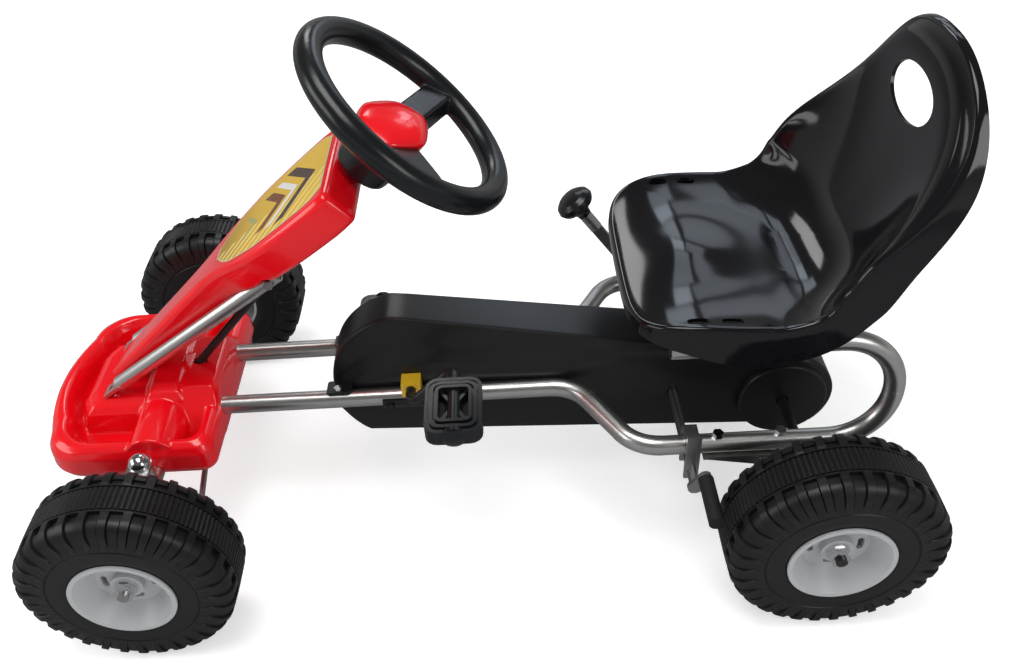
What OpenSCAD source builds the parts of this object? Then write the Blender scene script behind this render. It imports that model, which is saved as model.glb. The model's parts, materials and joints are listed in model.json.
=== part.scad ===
// Child's pedal go kart: bent-tube frame, moulded nose, seat and chain case, four lugged wheels.
// Frame: +X forward, +Y to the driver's left, +Z up, ground at Z = 0, X = 0 half way between the axles.

/* [Wheels] */
// Distance between the front and rear axles
wheelbase = 750; // [700:1:800]
// Distance between the middles of the left and right tyres
track = 492; // [470:1:540]
// Outside diameter of each tyre, over the lugs
wheel_d = 230; // [210:1:240]
// Width of each tyre
tyre_w = 84; // [70:1:90]
// Diameter of the rim's barrel inside the tyre
rim_d = 104; // [90:1:110]
// Lugs on each shoulder of a tyre
lug_count = 32; // [20:1:36]
// Depth of the tread between the lugs
lug_h = 5; // [3:0.5:7]
// Diameter of the stub axles and of the rear axle
axle_d = 12; // [10:0.5:14]

/* [Frame] */
// Outside diameter of the frame tubes
tube_d = 22; // [19:0.5:25]
// Wall of every tube
tube_wall = 1.5; // [1:0.1:2.5]
// Height of the frame tubes' centre line
rail_z = 160; // [155:1:166]
// Side offset of the tubes beside the chain case
front_rail_y = 48; // [46:0.5:56]
// Side offset of the tubes beside the rear wheels
rear_rail_y = 152; // [140:1:158]
// Distance of the tubes under the seat from the seat's edge
seat_rail_inset = 19.5; // [18:0.5:30]
// Height of the tubes' centre line under the seat
seat_rail_z = 286; // [276:1:288]
// Radius of the tubes' S-bends
bend_r = 50; // [40:1:60]

/* [Front end] */
// Side offset of the kingpins
kingpin_y = 154; // [148:1:160]
// Diameter of the kingpin bolts
kingpin_d = 12; // [10:0.5:14]
// Half width of the nose
nose_half_w = 132; // [120:1:136]
// Distance from the front axle to the tip of the nose
nose_reach = 146; // [135:1:155]
// Wall of the moulded nose and column cover
shell_wall = 3.5; // [2.5:0.1:4]
// Outside diameter of the brace tubes
brace_d = 18; // [14:0.5:20]

/* [Steering] */
// Angle of the steering column above the ground
column_angle = 47; // [46:0.5:48]
// Distance of the steering wheel's middle behind the front axle
wheel_back = 329; // [327:1:331]
// Height of the steering wheel's middle
wheel_z = 504; // [500:1:506]
// Radius of the steering wheel's ring, to the middle of its section
ring_r = 116; // [105:1:125]
// Thickness of the steering wheel's ring
ring_d = 28; // [22:1:30]
// Diameter of the steering shaft
shaft_d = 10; // [8:0.5:12]

/* [Drive] */
// Distance of the crank behind the front axle
crank_back = 299; // [295:1:303]
// Diameter of the crank rod
crank_d = 12; // [10:0.5:13]
// Length of the crank arms
crank_arm = 78; // [70:1:84]
// Teeth on the chainring
ring_teeth = 30; // [26:2:32]
// Teeth on the rear sprocket
sprocket_teeth = 15; // [12:1:16]
// Half width of the chain case
case_half_w = 36; // [34:0.5:36]
// Wall of the chain case
case_wall = 2.5; // [2:0.1:3]

/* [Pedals] */
// Length of a pedal, fore and aft
pedal_l = 62; // [50:1:70]
// Width of a pedal, along its spindle
pedal_w = 84; // [70:1:90]
// Thickness of a pedal
pedal_t = 24; // [20:1:28]

/* [Seat] */
// Half width of the seat pan
seat_half_w = 153.5; // [148:0.5:158]
// Distance of the seat's front edge ahead of the rear axle
seat_ahead = 198; // [190:1:210]
// Height of the seat's front edge
seat_z = 322; // [321:1:334]
// Length of the pan from the front edge to the bend
pan_len = 175; // [160:1:190]
// Length of the back above the bend
back_len = 222; // [205:1:240]
// Depth of the seat's skirt along its sides
skirt_side = 48; // [40:1:52]
// Wall of the seat shell
seat_wall = 4; // [3:0.2:5]

/* [Brake] */
// Distance of the brake shaft in front of the rear axle
brake_ahead = 135; // [133:1:138]
// Height of the brake shaft
brake_z = 132; // [130:1:134]
// Diameter of the brake shaft
brake_d = 11; // [9:0.5:12]
// Diameter of the rubber brake sleeves
sleeve_d = 17; // [15:0.5:18]
// Length of the brake lever
lever_l = 168; // [150:1:180]

/* [Hidden] */
$fa = 4;
$fs = 0.8;
// Radial running clearance of a shaft in its bore
run = 0.06;
// Clearance between pieces that only lie close together
gap = 0.3;

front_x = wheelbase / 2;
rear_x = -wheelbase / 2;
wheel_r = wheel_d / 2;
tube_r = tube_d / 2;
half_track = track / 2;
wheel_x = front_x - wheel_back;
crank_x = front_x - crank_back;
chain_pitch = 12.7;

RED = [0.86, 0.05, 0.07];
BLACK = [0.09, 0.09, 0.1];
ZINC = [0.72, 0.73, 0.74];
CHROME = [0.85, 0.86, 0.88];
RIM_GREY = [0.68, 0.69, 0.7];
YELLOW = [0.88, 0.68, 0.1];

// Small tools shared by the pieces below.

function unit(v) = v / norm(v);
function lerp(a, b, t) = a + (b - a) * t;
function clamp01(t) = min(1, max(0, t));
function smooth(t) = let (c = clamp01(t)) c * c * (3 - 2 * c);

// Places children with their own axes along three given directions
module place(at, x, y, z) {
    multmatrix([[x.x, y.x, z.x, at.x], [x.y, y.y, z.y, at.y], [x.z, y.z, z.z, at.z], [0, 0, 0, 1]])
        children();
}

// Turns the Z axis of children to a direction
module aim(at, dir) {
    d = unit(dir);
    side = unit(cross(abs(d.z) > 0.9 ? [0, 1, 0] : [0, 0, 1], d));
    place(at, side, cross(d, side), d) children();
}

// Round bar between two points
module rod(from, to, d) {
    aim(from, to - from) cylinder(d = d, h = norm(to - from));
}

// Bar along the side-to-side axis, from one side offset to another
module cross_rod(x, z, y0, y1, d) {
    rod([x, y0, z], [x, y1, z], d);
}

// Straight tube between two points
module tube(from, to, od, id) {
    u = unit(to - from);
    difference() {
        rod(from, to, od);
        rod(from - u, to + u, id);
    }
}

// Round bar along straight runs with a round bend at each inner point. A bend is a hair thicker than
// the runs, which reach a little way into it, so that the pieces merge cleanly.
bend_lap = 1.5;
bend_over = 0.4;
module bent_bar(pts, radii, d, extra = 0) {
    n = len(pts);
    turn = [for (i = [0:n - 1]) i == 0 || i == n - 1 ? 0
        : acos(unit(pts[i] - pts[i - 1]) * unit(pts[i + 1] - pts[i]))];
    trim = [for (i = [0:n - 1]) i == 0 || i == n - 1 ? -extra : radii[i] * tan(turn[i] / 2) - bend_lap];
    for (i = [0:n - 2]) {
        u = unit(pts[i + 1] - pts[i]);
        rod(pts[i] + u * trim[i], pts[i + 1] - u * trim[i + 1], d);
    }
    for (i = [1:n - 2]) {
        u = unit(pts[i] - pts[i - 1]);
        axis = unit(cross(u, unit(pts[i + 1] - pts[i])));
        inward = cross(axis, u);
        place(pts[i] - u * radii[i] * tan(turn[i] / 2) + inward * radii[i], -inward, u, axis)
            rotate_extrude(angle = turn[i]) translate([radii[i], 0]) circle(d = d + bend_over);
    }
}

// The same, hollow
module bent_tube(pts, radii, od, id) {
    difference() {
        bent_bar(pts, radii, od);
        bent_bar(pts, radii, id, 1);
    }
}

// Closed skin through rings that all have the same count of points
module loft(rings) {
    n = len(rings[0]);
    m = len(rings);
    sides = [for (k = [0:m - 2]) for (i = [0:n - 1]) let (j = (i + 1) % n)
        each [[k * n + i, k * n + j, (k + 1) * n + j], [k * n + i, (k + 1) * n + j, (k + 1) * n + i]]];
    first = [for (i = [n - 1:-1:0]) i];
    last = [for (i = [0:n - 1]) (m - 1) * n + i];
    polyhedron([for (ring = rings) each ring], concat([first], sides, [last]));
}

// Points of a rounded rectangle round the origin, with n points in each corner
function rounded_rect(w, h, r, n = 5) = [for (c = [0:3]) for (i = [0:n - 1])
    let (a = 90 * (c + i / (n - 1)), sx = (c == 0 || c == 3) ? 1 : -1, sy = c < 2 ? 1 : -1)
    [sx * (w / 2 - r) + r * cos(a), sy * (h / 2 - r) + r * sin(a)]];

// Copies children to the other side of the kart
module other_side() {
    mirror([0, 1, 0]) children();
}

// Hexagon nut or bolt head along Z
module hexagon(across, h) {
    cylinder(d = across / cos(30), h = h, $fn = 6);
}

// Wheels. Each is drawn with its axle along Y, its outer face at +Y.

rim_r = rim_d / 2;
hub_r = 17;
rim_lip = 4;
rim_wall = 3;
rim_face = tyre_w / 2 - 1;
dish_depth = 27;
dish_r = 36;
slot_count = 4;
nut_across = 19;
nut_h = 10;
washer_h = 2;
hub_out = rim_face - dish_depth + 12;
hub_in = tyre_w / 2 + 4;
band_half = tyre_w * 0.19;
shoulder_r = 16;

// Half section of the tyre: sidewall, round shoulder and tread
function tyre_side() = let (r = wheel_r, w = tyre_w / 2, s = shoulder_r)
    [[rim_r - 4, w - 4], [rim_r + rim_lip + 2, w - 0.5], [r - s - 14, w],
        for (a = [0:15:90]) [r - s + s * sin(a), w - s + s * cos(a)],
        [r - 0.4, band_half], [r - 0.4, 0]];

module tyre_section() {
    half = tyre_side();
    polygon(concat(half, [for (i = [len(half) - 2:-1:0]) [half[i].x, -half[i].y]]));
}

// Ring of blocks with flat tops, seen along the axle
module lug_star() {
    pitch = 360 / lug_count;
    root = wheel_r - lug_h - 3;
    tip = wheel_r + 2;
    polygon([for (i = [0:lug_count - 1]) for (p = [[-0.30, root], [-0.26, tip], [0.26, tip], [0.30, root]])
        p.y * [cos((i + p.x) * pitch), sin((i + p.x) * pitch)]]);
}

// Blow-moulded tyre: carcass, a middle band and two staggered rows of shoulder lugs
module tyre() {
    lug_w = tyre_w / 2 - band_half;
    rotate([-90, 0, 0]) intersection() {
        rotate_extrude() tyre_section();
        difference() {
            union() {
                cylinder(r = wheel_r - lug_h, h = tyre_w + 6, center = true);
                cylinder(r = wheel_r - 1, h = 2 * band_half - 5, center = true);
                for (s = [0, 1]) mirror([0, 0, s]) rotate(s * 180 / lug_count)
                    translate([0, 0, band_half]) linear_extrude(lug_w + 4) lug_star();
            }
            cylinder(r = rim_r + gap / 3, h = tyre_w + 10, center = true);
        }
    }
}

// Moulded rim: barrel, dished outer face with slots, inner web and hub
module rim() {
    rotate([-90, 0, 0]) difference() {
        union() {
            rotate_extrude() polygon([[hub_r, -hub_in], [hub_r, hub_out], [axle_d / 2 + run, hub_out],
                [axle_d / 2 + run, -hub_in]]);
            rotate_extrude() polygon([[rim_r - rim_wall, -rim_face + 4], [rim_r, -rim_face + 4],
                [rim_r, rim_face], [rim_r + rim_lip, rim_face], [rim_r + rim_lip, rim_face + 2.5],
                [rim_r - 1, rim_face + 2.5], [dish_r, rim_face - dish_depth + 4],
                [hub_r - 1, rim_face - dish_depth + 4], [hub_r - 1, rim_face - dish_depth],
                [dish_r + 2, rim_face - dish_depth], [rim_r - rim_wall, rim_face - 8]]);
        }
        for (i = [0:slot_count - 1]) rotate(i * 360 / slot_count)
            for (t = [-12:6:12]) rotate(t) translate([(hub_r + dish_r) / 2, 0, rim_face - dish_depth - 1])
                cylinder(d = 7, h = 8);
    }
}

module at_wheel(x, side) {
    translate([x, side * half_track, wheel_r]) rotate(side > 0 ? 0 : 180) children();
}

module tyre_front_left() {
    color(BLACK) at_wheel(front_x, 1) tyre();
}

module tyre_front_right() {
    color(BLACK) at_wheel(front_x, -1) tyre();
}

module tyre_rear_left() {
    color(BLACK) at_wheel(rear_x, 1) tyre();
}

module tyre_rear_right() {
    color(BLACK) at_wheel(rear_x, -1) tyre();
}

module rim_front_left() {
    color(RIM_GREY) at_wheel(front_x, 1) rim();
}

module rim_front_right() {
    color(RIM_GREY) at_wheel(front_x, -1) rim();
}

module rim_rear_left() {
    color(RIM_GREY) at_wheel(rear_x, 1) rim();
}

module rim_rear_right() {
    color(RIM_GREY) at_wheel(rear_x, -1) rim();
}

// Frame.

tube_id = tube_d - 2 * tube_wall;
rail_front = front_x + 62;
s_bend_ahead = 257;
s_bend_x = rear_x + s_bend_ahead;
s_bend_run = (rear_rail_y - front_rail_y) * 0.59;
loop_r = (seat_rail_z - rail_z) / 2 - 0.5;
loop_x = rear_x - 17 - loop_r;
seat_rail_ahead = 163;
seat_rail_front = rear_x + seat_rail_ahead;
seat_rail_y = seat_half_w - seat_rail_inset;

function rail_points() = [[rail_front, front_rail_y, rail_z], [s_bend_x, front_rail_y, rail_z],
    [s_bend_x - s_bend_run, rear_rail_y, rail_z], [loop_x, rear_rail_y, rail_z],
    [loop_x, seat_rail_y, seat_rail_z], [seat_rail_front, seat_rail_y, seat_rail_z]];

module frame_tube() {
    color(ZINC) bent_tube(rail_points(), [0, bend_r, bend_r, loop_r, loop_r, 0], tube_d, tube_id);
}

module frame_tube_left() {
    frame_tube();
}

module frame_tube_right() {
    other_side() frame_tube();
}

// The beam lies under the two frame tubes
beam_d = tube_d;
beam_z = rail_z - tube_r - beam_d / 2 - gap;
sleeve_od = 24;
sleeve_top = rail_z + 12;
sleeve_low = wheel_r - 13;

module front_axle_beam() {
    color(ZINC) difference() {
        union() {
            cross_rod(front_x, beam_z, -kingpin_y, kingpin_y, beam_d);
            for (s = [-1, 1]) translate([front_x, s * kingpin_y, sleeve_low])
                cylinder(d = sleeve_od, h = sleeve_top - sleeve_low);
        }
        for (s = [-1, 1]) translate([front_x, s * kingpin_y, sleeve_low - 1])
            cylinder(d = kingpin_d + 2 * run, h = sleeve_top - sleeve_low + 2);
        cross_rod(front_x, beam_z, sleeve_od / 2 - kingpin_y, kingpin_y - sleeve_od / 2,
            beam_d - 2 * tube_wall);
    }
}

// Steering column: a straight axis from the steering wheel down to the foot.

col = [-cos(column_angle), 0, sin(column_angle)];
col_across = [sin(column_angle), 0, cos(column_angle)];
wheel_mid = [wheel_x, 0, wheel_z];
// Point on the column axis at a given height
function col_at(z) = wheel_mid + col * (z - wheel_z) / col.z;

foot_z = rail_z + tube_r + gap;
foot_t = 4;
foot_boss = 20;
foot_x = col_at(foot_z + foot_t / 2).x;
foot_half = 17;
collar_h = 4;
pitman_z = rail_z - 2;
pitman_l = 38;
pitman_t = 5;

// Cross plate on the frame tubes, with the lower steering bush
module steering_foot() {
    mid = col_at(foot_z + foot_t / 2);
    color(ZINC) difference() {
        union() {
            translate([foot_x - foot_half, -front_rail_y - tube_r / 2, foot_z])
                cube([2 * foot_half, 2 * front_rail_y + tube_r, foot_t]);
            aim(mid - col * 9, col) cylinder(d = foot_boss, h = 18);
        }
        aim(mid - col * 20, col) cylinder(d = shaft_d + 2 * run, h = 40);
    }
}

// Column cover line: a straight ridge from the nose up to the steering wheel.

ridge_foot = [front_x + 95, 0, rail_z + 5];
ridge_angle = 42.2;
ridge = [-cos(ridge_angle), 0, sin(ridge_angle)];
ridge_up = [sin(ridge_angle), 0, cos(ridge_angle)];
function on_ridge(u, y, m) = ridge_foot + ridge * u + ridge_up * m + [0, y, 0];

// Brace tubes run from the nose up to the column bracket
brace_y = 40;
brace_low = [front_x + 49, brace_y, rail_z + 37];
brace_top_z = rail_z + 182;
brace_mid = col_at(brace_top_z);
brace_top = [brace_mid.x + 8, brace_y, brace_top_z + 2];
brace_dir = unit(brace_top - brace_low);

// Brace tube with a flattened, drilled lower end
module brace_tube() {
    color(ZINC) difference() {
        union() {
            tube(brace_low, brace_top, brace_d, brace_d - 2 * tube_wall);
            place(brace_low, [0, 1, 0], cross(brace_dir, [0, 1, 0]), brace_dir)
                translate([-brace_d * 0.55, -2, -24]) cube([brace_d * 1.1, 4, 27]);
        }
        place(brace_low - brace_dir * 14, [0, 1, 0], cross(brace_dir, [0, 1, 0]), brace_dir)
            rotate([90, 0, 0]) translate([0, 0, -6]) cylinder(d = 6.4, h = 12);
        aim(brace_top - brace_dir * 10, [0, 1, 0]) translate([0, 0, -brace_d])
            cylinder(d = 6.4, h = 2 * brace_d);
    }
}

module brace_tube_left() {
    brace_tube();
}

module brace_tube_right() {
    other_side() brace_tube();
}

// Cross bar between the braces, with the upper steering bush
bracket_half = brace_y - brace_d / 2 - gap;
bracket_mid = brace_top - brace_dir * 10;
bracket_boss = 22;
module column_bracket() {
    mid = bracket_mid;
    hub = col_at(mid.z);
    color(ZINC) difference() {
        union() {
            cross_rod(mid.x, mid.z, -bracket_half, bracket_half, 14);
            cross_rod(mid.x, mid.z, -brace_y - brace_d / 2 - 6, brace_y + brace_d / 2 + 6, 6);
            hull() {
                cross_rod(mid.x, mid.z, -11, 11, 14);
                aim(hub - col * bracket_boss / 2, col) cylinder(d = 20, h = bracket_boss, $fn = 32);
            }
            for (s = [-1, 1]) translate([mid.x, s * (brace_y + brace_d / 2 + gap), mid.z])
                rotate([-90 * s, 0, 0]) hexagon(10, 5);
        }
        aim(hub - col * 30, col) cylinder(d = shaft_d + 2 * run, h = 60);
    }
}

// Nose shell.

nose_tip = front_x + nose_reach;
nose_rear = front_x - 72;
nose_low = rail_z - 26;
nose_rim_z = rail_z + 13;
nose_floor_z = rail_z - 4;
hump_r = 29;
hump_z = beam_z + 14;

// Plan outline of the nose, drawn in from the edge by an inset: the left half, then its mirror image
nose_rear_r = 16;
nose_front_r = 46;
function nose_half(inset) = let (w = nose_half_w - inset, tip = nose_tip - inset)
    [for (a = [90:-30:0]) [nose_rear + inset + nose_rear_r * (1 - sin(a)), w - nose_rear_r * (1 - cos(a))],
        for (a = [90:-15:0]) [tip - 16 - nose_front_r * (1 - cos(a)), w - nose_front_r * (1 - sin(a))],
        for (k = [0.75, 0.5, 0.25]) [tip - 16 * k * k, k * (w - nose_front_r)]];
function nose_ring(inset, z) = let (half = nose_half(inset), n = len(half))
    [for (p = half) [p.x, p.y, z], [nose_tip - inset, 0, z],
        for (i = [n - 1:-1:0]) [half[i].x, -half[i].y, z]];

// Rounded rim round a sunk floor, as a closed solid grown inwards by an inset
module nose_body(t) {
    mirror([0, 1, 0]) loft([nose_ring(3 + t, nose_low - (t > 0 ? 2 : 0)), nose_ring(t, nose_low + 7),
        nose_ring(1 + t, nose_rim_z - 12), nose_ring(5 + t, nose_rim_z - 4 - t / 2),
        nose_ring(12, nose_rim_z - t), nose_ring(20 - t, nose_rim_z - 4 - t / 2),
        nose_ring(25 - t, nose_rim_z - 12 - t / 2), nose_ring(29 - t, nose_floor_z - t)]);
}

// Drum across the nose with softened ends
module nose_drum(y0, y1, r, soft) {
    hull() {
        cross_rod(front_x, hump_z, y0, y1, 2 * (r - soft), $fn = 56);
        cross_rod(front_x, hump_z, y0 + soft, y1 - soft, 2 * r, $fn = 56);
    }
}

// Block that narrows towards its top
module nose_block(x0, x1, half_w, z, lean, t) {
    hull() {
        translate([x0 + t, -half_w + t, nose_low - 3])
            cube([x1 - x0 - 2 * t, 2 * (half_w - t), z - lean - t - nose_low + 3]);
        translate([x0 + t + lean / 2, -half_w + t + lean, nose_low - 3])
            cube([x1 - x0 - 2 * t - lean, 2 * (half_w - t - lean), z - t - nose_low + 3]);
    }
}

// Hump over the front axle with its bands, the box behind it and the stepped pedestal in front
shoulder_z = rail_z + tube_r + shell_wall + 3;
pedestal_z = shoulder_z + 17;
foot_block_w = front_rail_y + 28;
front_block_w = nose_half_w * 0.51;
front_block_x = front_x + nose_reach * 0.69;
pedestal_w = brace_y - 11;
pedestal_x = front_x + nose_reach * 0.575;
module nose_raised(t) {
    reach = nose_half_w - 4 - t;
    nose_drum(-reach, reach, hump_r - t, 3);
    if (t == 0) for (s = [-1, 1]) for (y = [nose_half_w - 30, nose_half_w - 63])
        nose_drum(s * y - 8, s * y + 8, hump_r + 2.5, 2);
    nose_block(nose_rear + 1.2, front_x, foot_block_w, foot_z + 18, 11, t);
    nose_block(front_x + 4, front_block_x, front_block_w, shoulder_z, 5, t);
    nose_block(front_x + 6, pedestal_x, pedestal_w, pedestal_z, 4, t);
}

module nose_shell() {
    color(RED) difference() {
        union() {
            nose_body(0);
            nose_raised(0);
        }
        nose_body(shell_wall);
        translate([0, 0, -0.7]) nose_raised(shell_wall);
        translate([nose_rear - 50, -200, nose_low - 60]) cube([400, 400, 60.6]);
        // Ways through for the frame tubes, the axle beam and the steering shaft
        for (s = [-1, 1]) {
            rod([nose_rear - 5, s * front_rail_y, rail_z], [nose_rear + 12, s * front_rail_y, rail_z],
                tube_d + 4 * gap, $fn = 40);
            cross_rod(front_x, beam_z, s * (nose_half_w - 12), s * kingpin_y, beam_d + 4 * gap, $fn = 40);
            // Relief for a nose so wide that it reaches the kingpin sleeves
            translate([front_x, s * kingpin_y, nose_low - 1])
                cylinder(d = sleeve_od + 2 + 4 * gap, h = ear_top + ear_t + gap - nose_low + 1, $fn = 40);
        }
        aim(col_at(foot_z + 6), col) cylinder(d = foot_boss + 4, h = 40, $fn = 40);
    }
}

// Column cover: a loft from a slim foot on the nose to a broad block under the steering wheel.
// Each row: distance along the ridge, half width, top and bottom above the ridge line.
cover_end = 484;
cover_rows = [[4, 20, 2, -14], [60, 23, 3, -20], [150, 26, 4, -28], [225, 29, 5, -34],
    [262, 36, 6, -36], [305, 45, 7, -40], [350, 47, 8, -48], [430, 46, 7, -58], [cover_end, 42, 3, -60]];

function cover_ring(row, t) = [for (p = rounded_rect(2 * (row[1] - t), row[2] - row[3] - 2 * t, 9, 4))
    on_ridge(row[0], p.x, (row[2] + row[3]) / 2 + p.y)];

module cover_solid(t) {
    last = len(cover_rows) - 1;
    rows = t == 0 ? cover_rows : [for (i = [0:last]) let (r = cover_rows[i])
        [r[0] - (i == 0 ? 3 : i == last ? t : 0), r[1], r[2], r[3] - (i < 5 ? 12 : 0)]];
    loft([for (row = rows) cover_ring(row, t)]);
}

shaft_reach = norm(wheel_mid - col_at(rail_z));
module column_cover() {
    color(RED) difference() {
        cover_solid(0);
        cover_solid(shell_wall);
        // Room for the nose, the braces, their bracket and the shaft
        for (s = [0, 1]) mirror([0, s, 0])
            rod(brace_low - brace_dir * 30, brace_top + brace_dir * 4, brace_d + 4 * gap);
        hull() for (k = [-0.2, 1])
            cross_rod(bracket_mid.x + 22 * k, bracket_mid.z - 40 * k, -brace_y - 30, brace_y + 30, 20);
        aim(col_at(rail_z), col) cylinder(d = shaft_d + 14, h = shaft_reach - 62);
        aim(col_at(rail_z), col) cylinder(d = shaft_d + 2, h = shaft_reach + 20);
        translate([front_x - 200, -100, nose_low - 100]) cube([400, 200, pedestal_z + gap + 100 - nose_low]);
    }
}

// Thin printed panel that follows the cover's sloped top face
decal_t = 0.4;
decal_rows = [[268, 8], [285, 22], [310, 32], [350, 37], [390, 37], [430, 36], [456, 31], [470, 22]];
function cover_top(u) = lookup(u, [for (row = cover_rows) [row[0], row[2]]]);
module cover_decal() {
    color([0.85, 0.7, 0.3]) loft([for (r = decal_rows) let (z = cover_top(r[0]) + gap / 3)
        [for (p = [[1, 0], [1, decal_t], [-1, decal_t], [-1, 0]]) on_ridge(r[0], p.x * r[1], z + p.y)]]);
}

// Steering shaft with a pitman plate at its foot
module steering_shaft() {
    low = col_at(pitman_z);
    color(BLACK) union() {
        rod(low - col * 4, wheel_mid - col * 6, shaft_d);
        place(low, [0, 1, 0], -col_across, -col) {
            translate([-9, -9, -pitman_t / 2]) cube([18, pitman_l + 9, pitman_t]);
            translate([0, pitman_l, -pitman_t / 2]) cylinder(d = 18, h = pitman_t);
        }
        aim(col_at(bracket_mid.z) + col * (bracket_boss / 2 + gap), col)
            cylinder(d = shaft_d + 8, h = collar_h);
    }
}

// Steering wheel, drawn in its own frame: X to the driver's left, Y up the ring, Z along the column.
dish = 15;
spoke_w = 34;
boss_r = 27;

module at_wheel_mid() {
    place(wheel_mid, [0, 1, 0], col_across, col) children();
}

module steering_wheel() {
    color(BLACK) at_wheel_mid() difference() {
        union() {
            rotate_extrude() translate([ring_r, 0]) circle(d = ring_d);
            for (a = [30, 150, 270]) rotate(a) hull() {
                translate([ring_r - ring_d / 4, -spoke_w / 2, -5]) cube([3, spoke_w, 9]);
                translate([boss_r - 12, -spoke_w / 2 + 2, -dish - 7]) cube([3, spoke_w - 4, 13]);
            }
            translate([0, 0, -dish - 13]) cylinder(r = boss_r, h = 21);
            translate([0, 0, -dish - 27]) cylinder(r1 = 17, r2 = boss_r, h = 14.01);
        }
        translate([0, 0, -60]) cylinder(d = shaft_d + 2 * run, h = 58);
    }
}

// Red cap with three sloped faces over the wheel's boss
cap_h = 17;
module hub_cap() {
    color(RED) at_wheel_mid() translate([0, 0, -dish + 8 + gap]) difference() {
        intersection() {
            cylinder(r1 = 41, r2 = 30, h = cap_h);
            union() for (a = [30, 150, 270]) rotate(a) rotate([0, 12, 0])
                translate([-30, -32, -14]) cube([72, 64, cap_h + 8]);
            translate([0, 0, -58]) sphere(r = 74);
        }
        translate([0, 0, -1]) cylinder(d = shaft_d + 4, h = 12);
        for (a = [30, 150, 270]) rotate(a) hull() {
            translate([ring_r - ring_d / 4, -spoke_w / 2 - 1, dish - 14 - gap]) cube([3, spoke_w + 2, 10]);
            translate([boss_r - 13, -spoke_w / 2 + 1, -16 - gap]) cube([3, spoke_w - 2, 15]);
        }
    }
}

// Front knuckles, drawn for the left side.

ear_t = 4;
ear_top = sleeve_top + gap;
ear_low = sleeve_low - gap - ear_t;
web_y = kingpin_y + sleeve_od / 2 + 3;
arm_l = 45;
rod_d = 8;
rod_z = ear_low - rod_d / 2 - 1.6;
stub_out = half_track + hub_out + nut_h + washer_h + 4;

module knuckle() {
    color(ZINC) difference() {
        union() {
            for (z = [ear_low, ear_top]) hull() {
                translate([front_x, kingpin_y, z]) cylinder(d = sleeve_od + 2, h = ear_t, $fn = 32);
                translate([front_x - 13, web_y, z]) cube([26, ear_t, ear_t]);
            }
            translate([front_x - 13, web_y, ear_low]) cube([26, ear_t, ear_top + ear_t - ear_low]);
            cross_rod(front_x, wheel_r, web_y, stub_out, axle_d);
            cross_rod(front_x, wheel_r, web_y, half_track - hub_in - gap, axle_d + 10);
            hull() {
                translate([front_x, kingpin_y, ear_low]) cylinder(d = 20, h = ear_t, $fn = 32);
                translate([front_x - arm_l, kingpin_y - 6, ear_low]) cylinder(d = 18, h = ear_t, $fn = 32);
            }
            translate([front_x - arm_l, kingpin_y - 6, rod_z - rod_d / 2 - gap - 4]) {
                cylinder(d = 6, h = ear_low - rod_z + rod_d / 2 + gap + 5);
                hexagon(10, 4);
            }
        }
        translate([front_x, kingpin_y, ear_low - 1])
            cylinder(d = kingpin_d + 2 * run, h = ear_top - ear_low + 10);
    }
}

module knuckle_left() {
    knuckle();
}

module knuckle_right() {
    other_side() knuckle();
}

// Kingpin bolt with a domed cap on top and a nut below
module kingpin() {
    color(CHROME) translate([front_x, kingpin_y, 0]) {
        translate([0, 0, ear_low - nut_h]) cylinder(d = kingpin_d, h = ear_top + ear_t - ear_low + nut_h + 4);
        translate([0, 0, ear_low - nut_h]) hexagon(nut_across, nut_h);
        translate([0, 0, ear_top + ear_t]) cylinder(d = 27, h = washer_h);
        translate([0, 0, ear_top + ear_t + washer_h]) intersection() {
            cylinder(d = 25, h = 12);
            translate([0, 0, -2]) sphere(r = 13);
        }
    }
}

module kingpin_left() {
    kingpin();
}

module kingpin_right() {
    other_side() kingpin();
}

module stub_nut() {
    color(CHROME) difference() {
        translate([front_x, half_track + hub_out + gap, wheel_r]) rotate([-90, 0, 0]) {
            cylinder(d = 24, h = washer_h);
            translate([0, 0, washer_h]) hexagon(nut_across, nut_h);
        }
        cross_rod(front_x, wheel_r, 0, stub_out + 20, axle_d + 2 * run);
    }
}

module stub_nut_left() {
    stub_nut();
}

module stub_nut_right() {
    other_side() stub_nut();
}

// Tie rod with an eye at each end, from a knuckle's arm up to just under the pitman plate's end;
// the right one runs under the left one
pitman_end = col_at(pitman_z) - pitman_l * col_across;
eye_top = pitman_end.z - 9 * col_across.z - pitman_t * col.z - 2;
module tie_rod(drop) {
    out = [front_x - arm_l, kingpin_y - 6, rod_z];
    in = [pitman_end.x, 0, eye_top - rod_d / 2 - drop];
    color(ZINC) difference() {
        union() {
            rod(out, in, rod_d - 1);
            translate(out - [0, 0, rod_d / 2]) cylinder(d = 16, h = rod_d);
            translate(in - [0, 0, rod_d / 2]) cylinder(d = 16, h = rod_d);
        }
        translate(out - [0, 0, rod_d]) cylinder(d = 6 + 2 * run, h = 2 * rod_d);
        translate(in - [0, 0, rod_d]) cylinder(d = 8, h = 2 * rod_d);
    }
}

module tie_rod_left() {
    tie_rod(0);
}

module tie_rod_right() {
    other_side() tie_rod(rod_d + 2);
}

// Drive: bent crank rod, chainring, rear axle, sprocket and chain.

crank_z = rail_z + tube_r + crank_d / 2 + gap;
crank_angle = 43;
arm_y = front_rail_y + 34;
pedal_in = arm_y + 26;
pedal_y = pedal_in + pedal_w / 2;
pedal_off = crank_arm * [-cos(crank_angle), 0, sin(crank_angle)];
crank_mid = [crank_x, 0, crank_z];
crank_bend = crank_d * 1.4;
chain_w = 3;
ring_pitch_r = chain_pitch / (2 * sin(180 / ring_teeth));
sprocket_pitch_r = chain_pitch / (2 * sin(180 / sprocket_teeth));

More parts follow.
